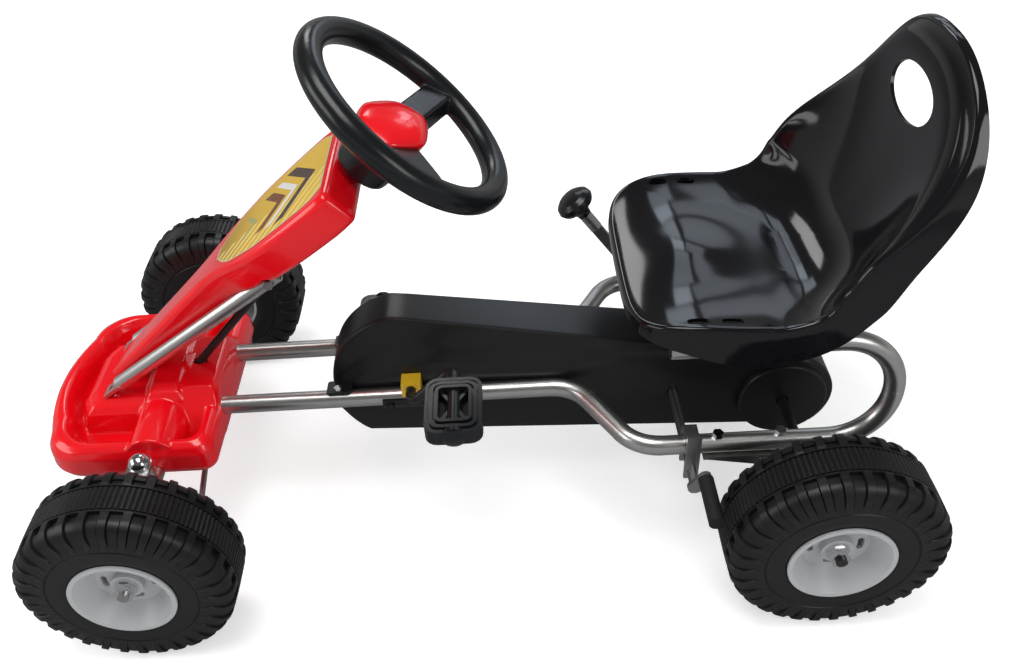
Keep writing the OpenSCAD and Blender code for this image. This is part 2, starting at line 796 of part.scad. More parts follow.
// One rod: spindle, arm, axle, arm, spindle
module crank_rod() {
    color(BLACK) bent_bar([
        crank_mid - pedal_off - [0, pedal_in + pedal_w - 8, 0], crank_mid - pedal_off - [0, arm_y, 0],
        crank_mid - [0, arm_y, 0], crank_mid + [0, arm_y, 0],
        crank_mid + pedal_off + [0, arm_y, 0], crank_mid + pedal_off + [0, pedal_in + pedal_w - 8, 0]],
        [0, crank_bend, crank_bend, crank_bend, crank_bend, 0], crank_d);
}

// Toothed wheel with rounded gaps for the chain's rollers, axle along Y
module toothed_wheel(teeth, pitch_r, bore, lightening) {
    rotate([90, 0, 0]) difference() {
        union() {
            linear_extrude(chain_w, center = true) polygon([for (i = [0:teeth - 1])
                for (p = [[-0.34, -3.6], [-0.22, 0], [-0.08, 3.8], [0.08, 3.8], [0.22, 0], [0.34, -3.6]])
                (pitch_r + p.y) * [cos((i + p.x) * 360 / teeth), sin((i + p.x) * 360 / teeth)]]);
            cylinder(r = bore / 2 + 8, h = 4 * chain_w, center = true);
        }
        cylinder(r = bore / 2 + run, h = 40, center = true);
        if (lightening > 0) for (i = [0:4]) rotate(i * 72) translate([lightening, 0, 0])
            cylinder(r = pitch_r * 0.16, h = 20, center = true);
    }
}

module chainring() {
    color(ZINC) translate(crank_mid) toothed_wheel(ring_teeth, ring_pitch_r, crank_d, ring_pitch_r * 0.58);
}

rear_mid = [rear_x, 0, wheel_r];
module rear_sprocket() {
    color(ZINC) translate(rear_mid) toothed_wheel(sprocket_teeth, sprocket_pitch_r, axle_d, 0);
}

// Chain: two rows of plates beside the teeth, joined by pins along the straight runs
plate_h = 8;
plate_t = 1.2;
plate_y = chain_w / 2 + 0.8;
chain_dir = crank_mid - rear_mid;
chain_len = norm(chain_dir);
chain_tilt = atan2(chain_dir.z, chain_dir.x);
wrap = asin((ring_pitch_r - sprocket_pitch_r) / chain_len);
run_len = chain_len * cos(wrap);

module at_chain() {
    translate(rear_mid) rotate([90, -chain_tilt, 0]) children();
}

// Loop round both toothed wheels, grown outwards, as a ring of points
function chain_loop(grow) = concat(
    [for (a = [90 + wrap:8:270 - wrap]) (sprocket_pitch_r + grow) * [cos(a), sin(a)]],
    [for (a = [-90 - wrap:6:90 + wrap]) [chain_len, 0] + (ring_pitch_r + grow) * [cos(a), sin(a)]]);

module drive_chain() {
    color([0.35, 0.35, 0.36]) at_chain() {
        for (s = [-1, 1]) translate([0, 0, s * (plate_y + plate_t / 2) - plate_t / 2]) linear_extrude(plate_t)
            difference() {
                polygon(chain_loop(plate_h / 2));
                polygon(chain_loop(-plate_h / 2));
            }
        for (s = [-1, 1]) for (i = [4:floor(run_len / chain_pitch) - 5])
            translate(sprocket_pitch_r * [-sin(wrap), s * cos(wrap), 0]) rotate(s * wrap)
                translate([i * chain_pitch, 0, 0]) cylinder(d = 5, h = 2 * plate_y + plate_t, center = true);
    }
}

module rear_axle() {
    reach = half_track + hub_out + nut_h + washer_h + 4;
    color(BLACK) cross_rod(rear_x, wheel_r, -reach, reach, axle_d);
}

module rear_axle_nuts() {
    color(CHROME) for (s = [0, 1]) mirror([0, s, 0]) difference() {
        translate([rear_x, half_track + hub_out + gap, wheel_r]) rotate([-90, 0, 0]) {
            cylinder(d = 24, h = washer_h);
            translate([0, 0, washer_h]) hexagon(nut_across, nut_h);
        }
        cross_rod(rear_x, wheel_r, 0, half_track + 100, axle_d + 2 * run);
    }
}

// Pedal: rounded frames round an open middle with crossed ribs and a spindle tube
module pedal() {
    spindle = crank_d + 2 * run;
    difference() {
        union() {
            for (k = [0:2]) linear_extrude(pedal_t - 6 + k * 3, center = true) difference() {
                polygon(rounded_rect(pedal_l - k * 11, pedal_w - k * 14, 14 - 3 * k));
                polygon(rounded_rect(pedal_l - 7 - k * 11, pedal_w - 9 - k * 14, 11 - 3 * k));
            }
            linear_extrude(pedal_t - 8, center = true) difference() {
                polygon(rounded_rect(pedal_l - 2, pedal_w - 2, 13));
                polygon(rounded_rect(pedal_l - 30, pedal_w - 38, 5));
            }
            intersection() {
                for (a = [-58, 58]) rotate(a) cube([pedal_w, 4, pedal_t - 10], center = true);
                cube([pedal_l - 20, pedal_w - 26, pedal_t], center = true);
            }
            rotate([90, 0, 0]) cylinder(d = spindle + 7, h = pedal_w - 6, center = true);
            // Bulged end cap outside
            translate([0, pedal_w / 2 - 5, 0]) rotate([-90, 0, 0]) intersection() {
                cylinder(d = pedal_t + 3, h = 9);
                translate([0, 0, -12]) sphere(r = 21);
            }
        }
        translate([0, -10, 0]) rotate([90, 0, 0]) cylinder(d = spindle, h = pedal_w + 4, center = true);
    }
}

module pedal_left() {
    color(BLACK) translate(crank_mid + pedal_off + [0, pedal_y, 0]) pedal();
}

module pedal_right() {
    color(BLACK) translate(crank_mid - pedal_off - [0, pedal_y, 0]) rotate(180) pedal();
}

// Yellow bush astride each frame tube, round the crank rod
bush_l = 23;
bush_in = case_half_w + 1.5;
bush_out = front_rail_y + tube_r - 1;
module crank_bush() {
    color(YELLOW) difference() {
        translate([crank_x - bush_l / 2, bush_in, rail_z + tube_r * 0.55])
            cube([bush_l, bush_out - bush_in, crank_z + crank_d / 2 + 2 - rail_z - tube_r * 0.55]);
        rod([crank_x - bush_l, front_rail_y, rail_z], [crank_x + bush_l, front_rail_y, rail_z], tube_d + gap);
        cross_rod(crank_x, crank_z, 0, front_rail_y + tube_d, crank_d + 2 * run);
    }
}

module crank_bush_left() {
    crank_bush();
}

module crank_bush_right() {
    other_side() crank_bush();
}

// Black half clamp round the tube under each bush, with its bolt
clamp_t = 3;
module bush_clamp() {
    x0 = crank_x - bush_l / 2 - 4;
    x1 = crank_x + bush_l / 2 + 24;
    color(BLACK) difference() {
        rod([x0, front_rail_y, rail_z], [x1, front_rail_y, rail_z], tube_d + 2 * clamp_t + 2 * gap);
        rod([x0 - 1, front_rail_y, rail_z], [x1 + 1, front_rail_y, rail_z], tube_d + 2 * gap);
        translate([x0 - 1, 0, rail_z + tube_r * 0.45]) cube([x1 - x0 + 2, 100, 60]);
        translate([x0 - 1, front_rail_y - tube_d, rail_z - 40])
            cube([x1 - x0 + 2, tube_d - tube_r * 0.5, 100]);
    }
    color(CHROME) translate([x1 - 9, front_rail_y + tube_r + clamp_t + gap - 1, rail_z - 2])
        rotate([-90, 0, 0]) hexagon(9, 5);
}

module bush_clamp_left() {
    bush_clamp();
}

module bush_clamp_right() {
    other_side() bush_clamp();
}

// Chain case halves: a loft whose upper part is narrower, with a drum over the rear sprocket.

case_front = [crank_x + 2, 168];
case_front_r = 95;
case_rear_r = 63;
shoulder_w = 27;
shoulder_drop = 52;
drum_r = 54;
drum_y = case_half_w + 10;

function case_low(x, t) = 92 + t + (x - 100) * 0.05;
// Outline of the case from the side, grown inwards by t, as points in X and Z
function case_outline(t) = [for (p = concat(
        [for (a = [-80:10:80]) case_front + (case_front_r - t) * [cos(a), sin(a)]],
        [for (k = [1:7]) lerp(case_front + (case_front_r - t) * [cos(82), sin(82)],
            [rear_x, wheel_r] + (case_rear_r - t) * [cos(95), sin(95)], k / 8)],
        [for (a = [95:12:263]) [rear_x, wheel_r] + (case_rear_r - t) * [cos(a), sin(a)]],
        [for (k = [1:4]) lerp([rear_x, wheel_r - case_rear_r + t],
            [case_front.x, case_front.y - case_front_r + t], k / 5)]))
    [p.x, max(p.y, case_low(p.x, t))]];

// One ring of the loft: the outline at a width, its top let down by a drop that fades to the rear
function case_ring(t, y0, y1, drop) = [for (p = case_outline(t))
    let (rear = clamp01((case_front.x - p.x) / (case_front.x - rear_x - 90)),
        high = smooth((p.y - 120) / 110), d = drop * lerp(1, 0.15, rear) * high)
    [p.x, lerp(y0, y1, rear), p.y - d]];

module case_solid(t) {
    w = case_half_w - t;
    s = shoulder_w - t;
    first = t > 0 ? -1 : 0;
    loft([case_ring(t, first, first, 0), case_ring(t, s - 3, w - 5, 0), case_ring(t, s, w - 2, 3),
        case_ring(t, s + 2, w - 1.5, shoulder_drop * 0.72), case_ring(t, w - 1.5, w - 0.5, shoulder_drop),
        case_ring(t, w, w, shoulder_drop + 4)]);
    cross_rod(rear_x, wheel_r, case_half_w / 2, drum_y - t, 2 * (drum_r - t));
}

ear_x = crank_x + 88;
module case_half() {
    color(BLACK) difference() {
        union() {
            case_solid(0);
            translate([ear_x - 16, case_half_w - 3, rail_z + tube_r + gap]) cube([30, 21, 4]);
        }
        case_solid(case_wall);
        cross_rod(crank_x, crank_z, 1, 100, crank_d + 3);
        cross_rod(rear_x, wheel_r, 1, 100, axle_d + 3);
        cross_rod(rear_x + brake_ahead, brake_z, 1, 100, brake_d + 3);
        translate([ear_x, front_rail_y, rail_z]) cylinder(d = 5 + 2 * gap, h = 40);
    }
}

module chain_case_left() {
    case_half();
}

module chain_case_right() {
    other_side() case_half();
}

// Screws through the case's front ears into the frame tubes, and one on top
module case_screws() {
    color(CHROME) for (s = [-1, 1]) translate([ear_x, s * front_rail_y, rail_z + tube_r + gap + 4]) {
        cylinder(d = 10, h = 3);
        translate([0, 0, -4 - gap + 0.1]) cylinder(d = 5, h = 5);
    }
}

// Rear axle bracket: a saddle under the tube, a web and a housing for the axle bush
bush_od = 20;
housing_od = 30;
housing_w = 26;
bush_reach = housing_w / 2 + 3;
bracket_x0 = rear_x - 22;
bracket_x1 = rear_x + 122;
module axle_bracket() {
    top = rail_z - tube_r - gap;
    color(ZINC) difference() {
        union() {
            translate([bracket_x0, rear_rail_y - 12, top - 3]) cube([bracket_x1 - bracket_x0, 24, 3]);
            translate([0, rear_rail_y + 12, 0]) rotate([90, 0, 0]) linear_extrude(5)
                polygon([[bracket_x0, top - 2], [bracket_x0 + 4, wheel_r], [rear_x + 14, wheel_r - 4],
                    [bracket_x1 - 60, top - 14], [bracket_x1, top - 2]]);
            cross_rod(rear_x, wheel_r, rear_rail_y - housing_w / 2, rear_rail_y + housing_w / 2, housing_od);
        }
        cross_rod(rear_x, wheel_r, 0, 400, bush_od);
        for (x = bolt_places()) translate([x, rear_rail_y, top - 30]) cylinder(d = 6 + 2 * gap, h = 40);
    }
}

function bolt_places() = [rear_x + 37, rear_x + 106];

module axle_bracket_left() {
    axle_bracket();
}

module axle_bracket_right() {
    other_side() axle_bracket();
}

module axle_bush() {
    color([0.2, 0.2, 0.2]) difference() {
        cross_rod(rear_x, wheel_r, rear_rail_y - bush_reach, rear_rail_y + bush_reach, bush_od - gap / 3);
        cross_rod(rear_x, wheel_r, 0, 400, axle_d + 2 * run);
    }
}

module axle_bush_left() {
    axle_bush();
}

module axle_bush_right() {
    other_side() axle_bush();
}

// Bolt heads on top of the rear tubes and nuts under the brackets
module bracket_bolts() {
    color(CHROME) for (s = [-1, 1]) for (x = bolt_places()) translate([x, s * rear_rail_y, 0]) {
        translate([0, 0, rail_z + tube_r + gap]) hexagon(11, 5);
        translate([0, 0, rail_z - tube_r - gap - 3 - gap - 6]) hexagon(11, 6);
    }
}

// Seat: one thin sheet, dished and turned down all round its edge.

bend_turn = 69;
pan_slope = -4;
bend_radius = 69;
bend_len = bend_radius * bend_turn * PI / 180;
back_turn = 23.5;
back_radius = back_len / (back_turn * PI / 180);
bend_end = pan_len + bend_len;
seat_len = bend_end + back_len;

// Elevation of the seat's middle line at a distance along it
function seat_tilt(s) = s < pan_len ? pan_slope
    : s < bend_end ? pan_slope + bend_turn * (s - pan_len) / bend_len
    : pan_slope + bend_turn + back_turn * (s - bend_end) / back_len;
// Point of the middle line: a straight pan, a tight bend and a long gentle arc
function arc_step(p, r, a0, a1) = p + r * [-(sin(a1) - sin(a0)), 0, cos(a0) - cos(a1)];
seat_p0 = [rear_x + seat_ahead, 0, seat_z];
seat_p1 = seat_p0 + pan_len * [-cos(pan_slope), 0, sin(pan_slope)];
seat_p2 = arc_step(seat_p1, bend_radius, pan_slope, pan_slope + bend_turn);
function seat_mid(s) = s < pan_len ? seat_p0 + s * [-cos(pan_slope), 0, sin(pan_slope)]
    : s < bend_end ? arc_step(seat_p1, bend_radius, pan_slope, seat_tilt(s))
    : arc_step(seat_p2, back_radius, pan_slope + bend_turn, seat_tilt(s));
function seat_along(s) = [-cos(seat_tilt(s)), 0, sin(seat_tilt(s))];
function seat_normal(s) = [sin(seat_tilt(s)), 0, cos(seat_tilt(s))];

// Half width, and how far the sides curl up at the bend and roll back at the head
function seat_w(s) = seat_half_w * lerp(1, 0.84, smooth((s - bend_end + 40) / (back_len + 40)));
function pan_rise(s) = s < pan_len ? lerp(10, 13, smooth(s / 70)) : lerp(13, 46, smooth((s - pan_len) / 60));
function seat_rise(s) = lerp(pan_rise(s), -25, smooth((s - bend_end - 20) / (back_len - 40)));

// Point of a square from -1 to 1 squeezed into the outline: squarish corners in front, an arch at the top
front_power = 6;
top_power = 2.8;
function squeeze(q) = let (m = max(abs(q.x), abs(q.y)), p = q.x < 0 ? front_power : top_power)
    m == 0 ? q : q * m / pow(pow(abs(q.x), p) + pow(abs(q.y), p), 1 / p);

// Point of the sheet: a place in that square, then down off the sheet and out past its edge
function seat_point(q, down, out) = let (e = squeeze(q), s = (1 + e.x) * seat_len / 2, y = e.y * seat_w(s),
        far = norm(e) == 0 ? e : unit([e.x, y / seat_half_w]))
    seat_mid(s) + [0, y, 0] + seat_normal(s) * (seat_rise(s) * pow(abs(e.y), 3) - down)
        + out * (far.x * seat_along(s) + [0, far.y, 0]);

// Depth of the skirt round the edge: short at the front, deep along the sides, shallow over the head
skirt_front = 14;
skirt_head = 32;
function seat_skirt(q) = let (e = squeeze(q), s = (1 + e.x) * seat_len / 2, far = unit(e),
        side = lerp(skirt_side, skirt_head, smooth((s - bend_end) / back_len)))
    lerp(side, skirt_front, smooth((-far.x - 0.45) / 0.4));

// Closed skin: a top grid, rings of points that run round its border, and a grid underneath
module skinned_sheet(n, top, rings, bottom) {
    border = [for (k = [0:n - 1]) [0, k], for (k = [0:n - 1]) [k, n],
        for (k = [n:-1:1]) [n, k], for (k = [n:-1:1]) [k, 0]];
    m = len(border);
    grid = (n + 1) * (n + 1);
    function rim(r, k) = r < 0 ? border[k % m].x * (n + 1) + border[k % m].y
        : r < len(rings) ? grid + r * m + k % m
        : grid + len(rings) * m + border[k % m].x * (n + 1) + border[k % m].y;
    cells = [for (i = [0:n - 1]) for (j = [0:n - 1]) i * (n + 1) + j];
    under = grid + len(rings) * m;
    polyhedron(concat(top, [for (r = rings) each r], bottom), concat(
        [for (c = cells) each [[c, c + n + 1, c + 1], [c + 1, c + n + 1, c + n + 2]]],
        [for (r = [-1:len(rings) - 1]) for (k = [0:m - 1]) each
            [[rim(r, k), rim(r, k + 1), rim(r + 1, k)], [rim(r, k + 1), rim(r + 1, k + 1), rim(r + 1, k)]]],
        [for (c = cells) each [[under + c, under + c + 1, under + c + n + 1],
            [under + c + 1, under + c + n + 2, under + c + n + 1]]]));
}

// How far the rolled edge stands out: a little along the sides, less over the head
function seat_flare(q) = let (e = squeeze(q)) lerp(5.4, 4, smooth((e.x - 0.55) / 0.4));

seat_steps = 24;
module seat_sheet() {
    n = seat_steps;
    t = seat_wall;
    function cell(i, j) = [2 * i / n - 1, 2 * j / n - 1];
    grid = [for (i = [0:n]) for (j = [0:n]) cell(i, j)];
    edge = [for (k = [0:n - 1]) cell(0, k), for (k = [0:n - 1]) cell(k, n), for (k = [n:-1:1]) cell(n, k),
        for (k = [n:-1:1]) cell(k, 0)];
    skinned_sheet(n, [for (q = grid) seat_point(q, 0, 0)],
        [[for (q = edge) seat_point(q, 1, seat_flare(q) / 2)],
            [for (q = edge) seat_point(q, 5, seat_flare(q))],
            [for (q = edge) seat_point(q, seat_skirt(q), seat_flare(q))],
            [for (q = edge) seat_point(q, seat_skirt(q), seat_flare(q) - t)],
            [for (q = edge) seat_point(q, 5 + t / 2, seat_flare(q) - t)]],
        [for (q = grid) seat_point(q, t, 0)]);
}

// Oval grip hole in the head of the seat, and two belt slots at each front corner
hole_s = bend_end + back_len * 0.685;
hole_w = 104;
hole_l = 54;
slot_l = 22;
slot_w = 11;
function belt_slots() = [[60, seat_half_w - 16.5], [95, seat_half_w - 15.5]];
bar_front = 62;
bar_rear = pan_len - 17;
bar_w = 25;
bolt_y = 60;

module on_seat(s, y) {
    place(seat_mid(s) + [0, y, 0], [0, 1, 0], -seat_along(s), seat_normal(s)) children();
}

module seat() {
    color(BLACK) difference() {
        seat_sheet();
        on_seat(hole_s, 0) linear_extrude(60, center = true)
            polygon([for (a = [0:10:350]) [hole_w / 2 * cos(a), hole_l / 2 * sin(a)]]);
        for (side = [-1, 1]) for (p = belt_slots()) on_seat(p.x, side * p.y)
            linear_extrude(70, center = true) polygon(rounded_rect(slot_w, slot_l, slot_w / 2 - 0.1, 4));
        for (s = [bar_front, bar_rear]) for (y = [-bolt_y, bolt_y])
            translate([seat_mid(s).x, y, seat_mid(s).z - 20]) cylinder(d = 6.6, h = 40);
    }
}

// Bars under the pan, from tube to tube, as deep as the room there
function bar_top(s) = seat_mid(s).z - seat_wall / cos(pan_slope) - gap - 0.9;
bar_low = seat_rail_z + tube_r + gap;

module seat_crossbar(s) {
    x = seat_mid(s).x;
    h = bar_top(s) - bar_low;
    color(ZINC) difference() {
        translate([x - bar_w / 2, -seat_rail_y - tube_r / 2, bar_low])
            cube([bar_w, 2 * seat_rail_y + tube_r, h]);
        for (y = [-bolt_y, bolt_y]) translate([x, y, bar_low - 10]) cylinder(d = 6.6, h = 60);
        for (side = [-1, 1]) translate([x - bar_w, side * (seat_half_w * 0.8) - 40 + 40 * side, bar_low + 4])
            cube([2 * bar_w, 80, 40]);
    }
}

module seat_crossbar_front() {
    seat_crossbar(bar_front);
}

module seat_crossbar_rear() {
    seat_crossbar(bar_rear);
}

// Bolts with low flat heads in the pan and nuts under the bars
head_z = 1.8;
module seat_bolts() {
    color(BLACK) for (s = [bar_front, bar_rear]) for (y = [-bolt_y, bolt_y])
    translate([seat_mid(s).x, y, 0]) {
        translate([0, 0, bar_low - gap - 5]) hexagon(10, 5);
        translate([0, 0, bar_low - gap - 5]) cylinder(d = 6, h = seat_mid(s).z + head_z + 6 - bar_low);
        translate([0, 0, seat_mid(s).z + head_z]) cylinder(d1 = 14, d2 = 11, h = 1.5);
    }
}

// Brake: a shaft through the case, a lever on the right, and sleeved bars in front of the rear tyres.

brake_x = rear_x + brake_ahead;
hanger_w = 16;
hanger_t = 4;
hanger_y = rear_rail_y + tube_r + gap + hanger_t / 2;
lever_y = hanger_y + hanger_t / 2 + 8;
pad_off = [-10, 0, 15];
pad_in = lever_y + 12;
pad_out = half_track + 4;
lever_angle = 55;

// Strap over the frame tube with two legs that carry the shaft
module brake_hanger() {
    inner = rear_rail_y - tube_r - gap - hanger_t;
    outer = rear_rail_y + tube_r + gap;
    top = rail_z + tube_r + gap;
    low = brake_z - brake_d / 2 - 6;
    color(ZINC) difference() {
        union() {
            translate([brake_x - hanger_w / 2, inner, low]) cube([hanger_w, hanger_t, top + hanger_t - low]);
            translate([brake_x - hanger_w / 2, inner, top])
                cube([hanger_w, outer - inner + hanger_t, hanger_t]);
            translate([brake_x - hanger_w / 2, outer, low]) cube([hanger_w, hanger_t, top + 14 - low]);
        }
        cross_rod(brake_x, brake_z, 0, 400, brake_d + 2 * run);
    }
}

module brake_hanger_left() {
    brake_hanger();
}

module brake_hanger_right() {
    other_side() brake_hanger();
}

// Shaft with a crank plate and an offset bar at each end
module brake_shaft() {
    mid = [brake_x, 0, brake_z];
    color(ZINC) {
        cross_rod(brake_x, brake_z, -pad_in, pad_in, brake_d);
        for (s = [-1, 1]) translate(mid + [0, s * pad_in, 0]) rotate([-90 * s, 0, 0]) {
            hull() {
                cylinder(d = brake_d + 6, h = 5, $fn = 32);
                translate([pad_off.x, -s * pad_off.z, 0]) cylinder(d = brake_d + 3, h = 5, $fn = 32);
            }
            translate([pad_off.x, -s * pad_off.z, 0]) cylinder(d = brake_d, h = pad_out - pad_in);
        }
    }
}

lever_dir = [cos(lever_angle), 0, sin(lever_angle)];
lever_end = [brake_x, -lever_y, brake_z] + lever_dir * lever_l;

// Flat lever on the shaft's right end, with a black ferrule under the knob
module brake_lever() {
    hub = [brake_x, -lever_y, brake_z];
    color(ZINC) difference() {
        union() {
            cross_rod(brake_x, brake_z, -lever_y - 6, -lever_y + 6, brake_d + 9);
            place(hub, [0, 1, 0], cross(lever_dir, [0, 1, 0]), lever_dir)
                translate([-3, -7.5, 4]) cube([6, 15, lever_l - 30]);
            aim(hub + lever_dir * (lever_l - 40), lever_dir) cylinder(d = 17, h = 26);
        }
        cross_rod(brake_x, brake_z, -400, 0, brake_d + 2 * run);
    }
}

// Mushroom knob
module brake_knob() {
    color(BLACK) aim(lever_end - lever_dir * 14, lever_dir) rotate_extrude()
        polygon([[0, gap], [9, gap], [10, 6], [14, 12], [23, 17], [25.5, 22], [24, 28], [18, 33], [9, 35.5],
            [0, 36]]);
}

module brake_sleeve() {
    mid = [brake_x, 0, brake_z] + pad_off;
    color(BLACK) difference() {
        cross_rod(mid.x, mid.z, pad_in + 6, pad_out + 4, sleeve_d);
        cross_rod(mid.x, mid.z, 0, pad_out, brake_d + gap / 3);
    }
}

module brake_sleeve_left() {
    brake_sleeve();
}

module brake_sleeve_right() {
    other_side() brake_sleeve();
}

frame_tube_left();
frame_tube_right();
front_axle_beam();
steering_foot();
column_bracket();
brace_tube_left();
brace_tube_right();
nose_shell();
column_cover();
cover_decal();
seat();
seat_crossbar_front();
seat_crossbar_rear();
seat_bolts();
chain_case_left();
chain_case_right();
case_screws();
crank_bush_left();
crank_bush_right();
bush_clamp_left();
bush_clamp_right();
axle_bracket_left();
axle_bracket_right();
axle_bush_left();
axle_bush_right();
bracket_bolts();
brake_hanger_left();
brake_hanger_right();
drive_chain();
steering_shaft();
steering_wheel();
hub_cap();
knuckle_left();
knuckle_right();
kingpin_left();
kingpin_right();
stub_nut_left();
stub_nut_right();
tie_rod_left();
tie_rod_right();
tyre_front_left();
rim_front_left();
tyre_front_right();
rim_front_right();
crank_rod();
chainring();
pedal_left();
pedal_right();
rear_axle();
rear_sprocket();
rear_axle_nuts();
tyre_rear_left();
rim_rear_left();
tyre_rear_right();
rim_rear_right();
brake_shaft();
brake_lever();
brake_knob();
brake_sleeve_left();
brake_sleeve_right();
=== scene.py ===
# %% [markdown]
# # Pedal go kart
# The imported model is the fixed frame: every tube, axle and bracket already sits where it belongs, in
# metres, with X forward, Y to the driver's left and Z up. This lesson gives those solids their finishes,
# and replaces the moulded pieces (nose, cover, seat, chain case, tyres, steering wheel) with smoother ones.

# %% Load the frame
import json
import math

import bmesh
import bpy
import numpy as np
from mathutils import Matrix, Vector


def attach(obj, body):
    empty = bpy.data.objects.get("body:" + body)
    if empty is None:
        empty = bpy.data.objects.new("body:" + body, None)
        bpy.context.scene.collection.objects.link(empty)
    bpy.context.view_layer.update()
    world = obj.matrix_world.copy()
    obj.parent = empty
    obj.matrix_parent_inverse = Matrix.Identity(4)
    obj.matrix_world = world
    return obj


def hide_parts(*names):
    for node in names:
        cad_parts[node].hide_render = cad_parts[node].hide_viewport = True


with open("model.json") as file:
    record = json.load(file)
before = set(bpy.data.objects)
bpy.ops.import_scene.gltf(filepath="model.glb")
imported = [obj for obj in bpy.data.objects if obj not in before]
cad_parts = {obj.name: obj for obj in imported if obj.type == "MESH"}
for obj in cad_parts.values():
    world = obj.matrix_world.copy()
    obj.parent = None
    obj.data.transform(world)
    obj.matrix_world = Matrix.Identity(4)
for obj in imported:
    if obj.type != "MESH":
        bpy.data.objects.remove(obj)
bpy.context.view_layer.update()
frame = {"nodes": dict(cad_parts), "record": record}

nodes = frame["nodes"]

# %% [markdown]
# ## Camera
# The photograph was taken from the kart's left, about a metre up and looking down by 40 degrees, with a
# slight roll. A camera is a matrix: its columns are the image's right, the image's up, and the way back out
# of the lens.

# %% Camera
IMAGE_W, IMAGE_H = 1013, 665
FOCAL_PX = 936.5
CENTRE_PX = (495.26, 331.9)
SENSOR_MM = 36
CAMERA_AT = (-0.05103, 0.86943, 0.93704)
pitch, yaw, roll = math.radians(39.84), math.radians(1.563), math.radians(-4.168)
look = Vector((math.sin(yaw) * math.cos(pitch), -math.cos(yaw) * math.cos(pitch), -math.sin(pitch)))
level = look.cross(Vector((0, 0, 1))).normalized()
rise = level.cross(look)
image_right = math.cos(roll) * level + math.sin(roll) * rise
image_up = -math.sin(roll) * level + math.cos(roll) * rise
camera = bpy.data.objects.new("camera", bpy.data.cameras.new("camera"))
bpy.context.scene.collection.objects.link(camera)
turn = Matrix((image_right, image_up, -look)).transposed().to_4x4()
camera.matrix_world = Matrix.Translation(CAMERA_AT) @ turn
camera.data.sensor_width = SENSOR_MM
camera.data.lens = FOCAL_PX / IMAGE_W * SENSOR_MM
camera.data.shift_x = (IMAGE_W / 2 - CENTRE_PX[0]) / IMAGE_W
camera.data.shift_y = (CENTRE_PX[1] - IMAGE_H / 2) / IMAGE_W
camera.data.clip_end = 60
bpy.context.scene.camera = camera
print("camera: lens", round(camera.data.lens, 2), "mm")

# %% [markdown]
# ## Mesh helpers
# Most pieces here are skins over a grid of points: rows that run round or along the piece. One function
# turns such a grid into faces, and others give circles, blends and smooth shading.

# %% Mesh helpers
MM = 0.001
FORWARD, LEFT, UP = Vector((1, 0, 0)), Vector((0, 1, 0)), Vector((0, 0, 1))


def add_object(name, data):
    """A new object in the scene that shows some data."""
    obj = bpy.data.objects.new(name, data)
    bpy.context.scene.collection.objects.link(obj)
    return obj


def link_mesh(name, verts, faces, smooth=True):
    """A new object from points in metres and faces."""
    mesh = bpy.data.meshes.new(name)
    mesh.from_pydata([tuple(v) for v in verts], [], faces)
    mesh.validate()
    if smooth:
        mesh.polygons.foreach_set("use_smooth", [True] * len(mesh.polygons))
    return add_object(name, mesh)


def grid_faces(rows, cols, close_cols=False, close_rows=False):
    """Faces between neighbouring points of a grid, which may close round either way."""
    faces = []
    for r in range(rows if close_rows else rows - 1):
        for c in range(cols if close_cols else cols - 1):
            here, ahead = r * cols, ((r + 1) % rows) * cols
            right = (c + 1) % cols
            faces.append((here + c, here + right, ahead + right, ahead + c))
    return faces


def circle(count):
    """Evenly spaced angles round a full turn."""
    return np.linspace(0, 2 * math.pi, count, endpoint=False)


def shade_smooth(obj, sharp_from):
    """Smooth shading, with edges sharper than an angle in degrees kept crisp."""
    obj.data.polygons.foreach_set("use_smooth", [True] * len(obj.data.polygons))
    obj.data.set_sharp_from_angle(angle=math.radians(sharp_from))


print("mesh helpers ready, one millimetre is", MM, "m")


# %% [markdown]
# The second set works on whole meshes. Modifiers such as Boolean, Remesh and Solidify do the shaping, and
# each is made into plain mesh at once, so that the next step works on real points.

# %% Shaping helpers
def outward(obj):
    """Merges doubled points and turns the faces of a closed mesh outwards."""
    bm = bmesh.new()
    bm.from_mesh(obj.data)
    bmesh.ops.remove_doubles(bm, verts=bm.verts, dist=1e-6)
    bmesh.ops.recalc_face_normals(bm, faces=bm.faces)
    bm.to_mesh(obj.data)
    bm.free()
    return obj


def bake(obj):
    """Turns an object's modifiers into plain mesh."""
    deps = bpy.context.evaluated_depsgraph_get()
    mesh = bpy.data.meshes.new_from_object(obj.evaluated_get(deps))
    obj.modifiers.clear()
    old, obj.data = obj.data, mesh
    bpy.data.meshes.remove(old)
    return obj


def drop(obj):
    """Removes a helper object."""
    bpy.data.objects.remove(obj, do_unlink=True)


def join(name, objs):
    """One object from several, with their points as they are."""
    bm = bmesh.new()
    for o in objs:
        part = o.data.copy()
        part.transform(o.matrix_world)
        bm.from_mesh(part)
        bpy.data.meshes.remove(part)
    mesh = bpy.data.meshes.new(name)
    bm.to_mesh(mesh)
    bm.free()
    for o in objs:
        drop(o)
    mesh.polygons.foreach_set("use_smooth", [True] * len(mesh.polygons))
    return add_object(name, mesh)


def cut(obj, *tools):
    """Takes the tools' volumes out of an object and removes the tools."""
    for t in tools:
        m = obj.modifiers.new("cut", "BOOLEAN")
        m.object, m.operation, m.solver = t, "DIFFERENCE", "EXACT"
    bpy.context.view_layer.update()
    bake(obj)
    for t in tools:
        drop(t)
    return obj


def soften(obj, voxel, rounds):
    """Melts touching solids into one moulded skin with rounded edges."""
    m = obj.modifiers.new("melt", "REMESH")
    m.mode, m.voxel_size, m.use_smooth_shade = "VOXEL", voxel, True
    m = obj.modifiers.new("round", "SMOOTH")
    m.factor, m.iterations = 0.5, rounds
    bpy.context.view_layer.update()
    return bake(obj)


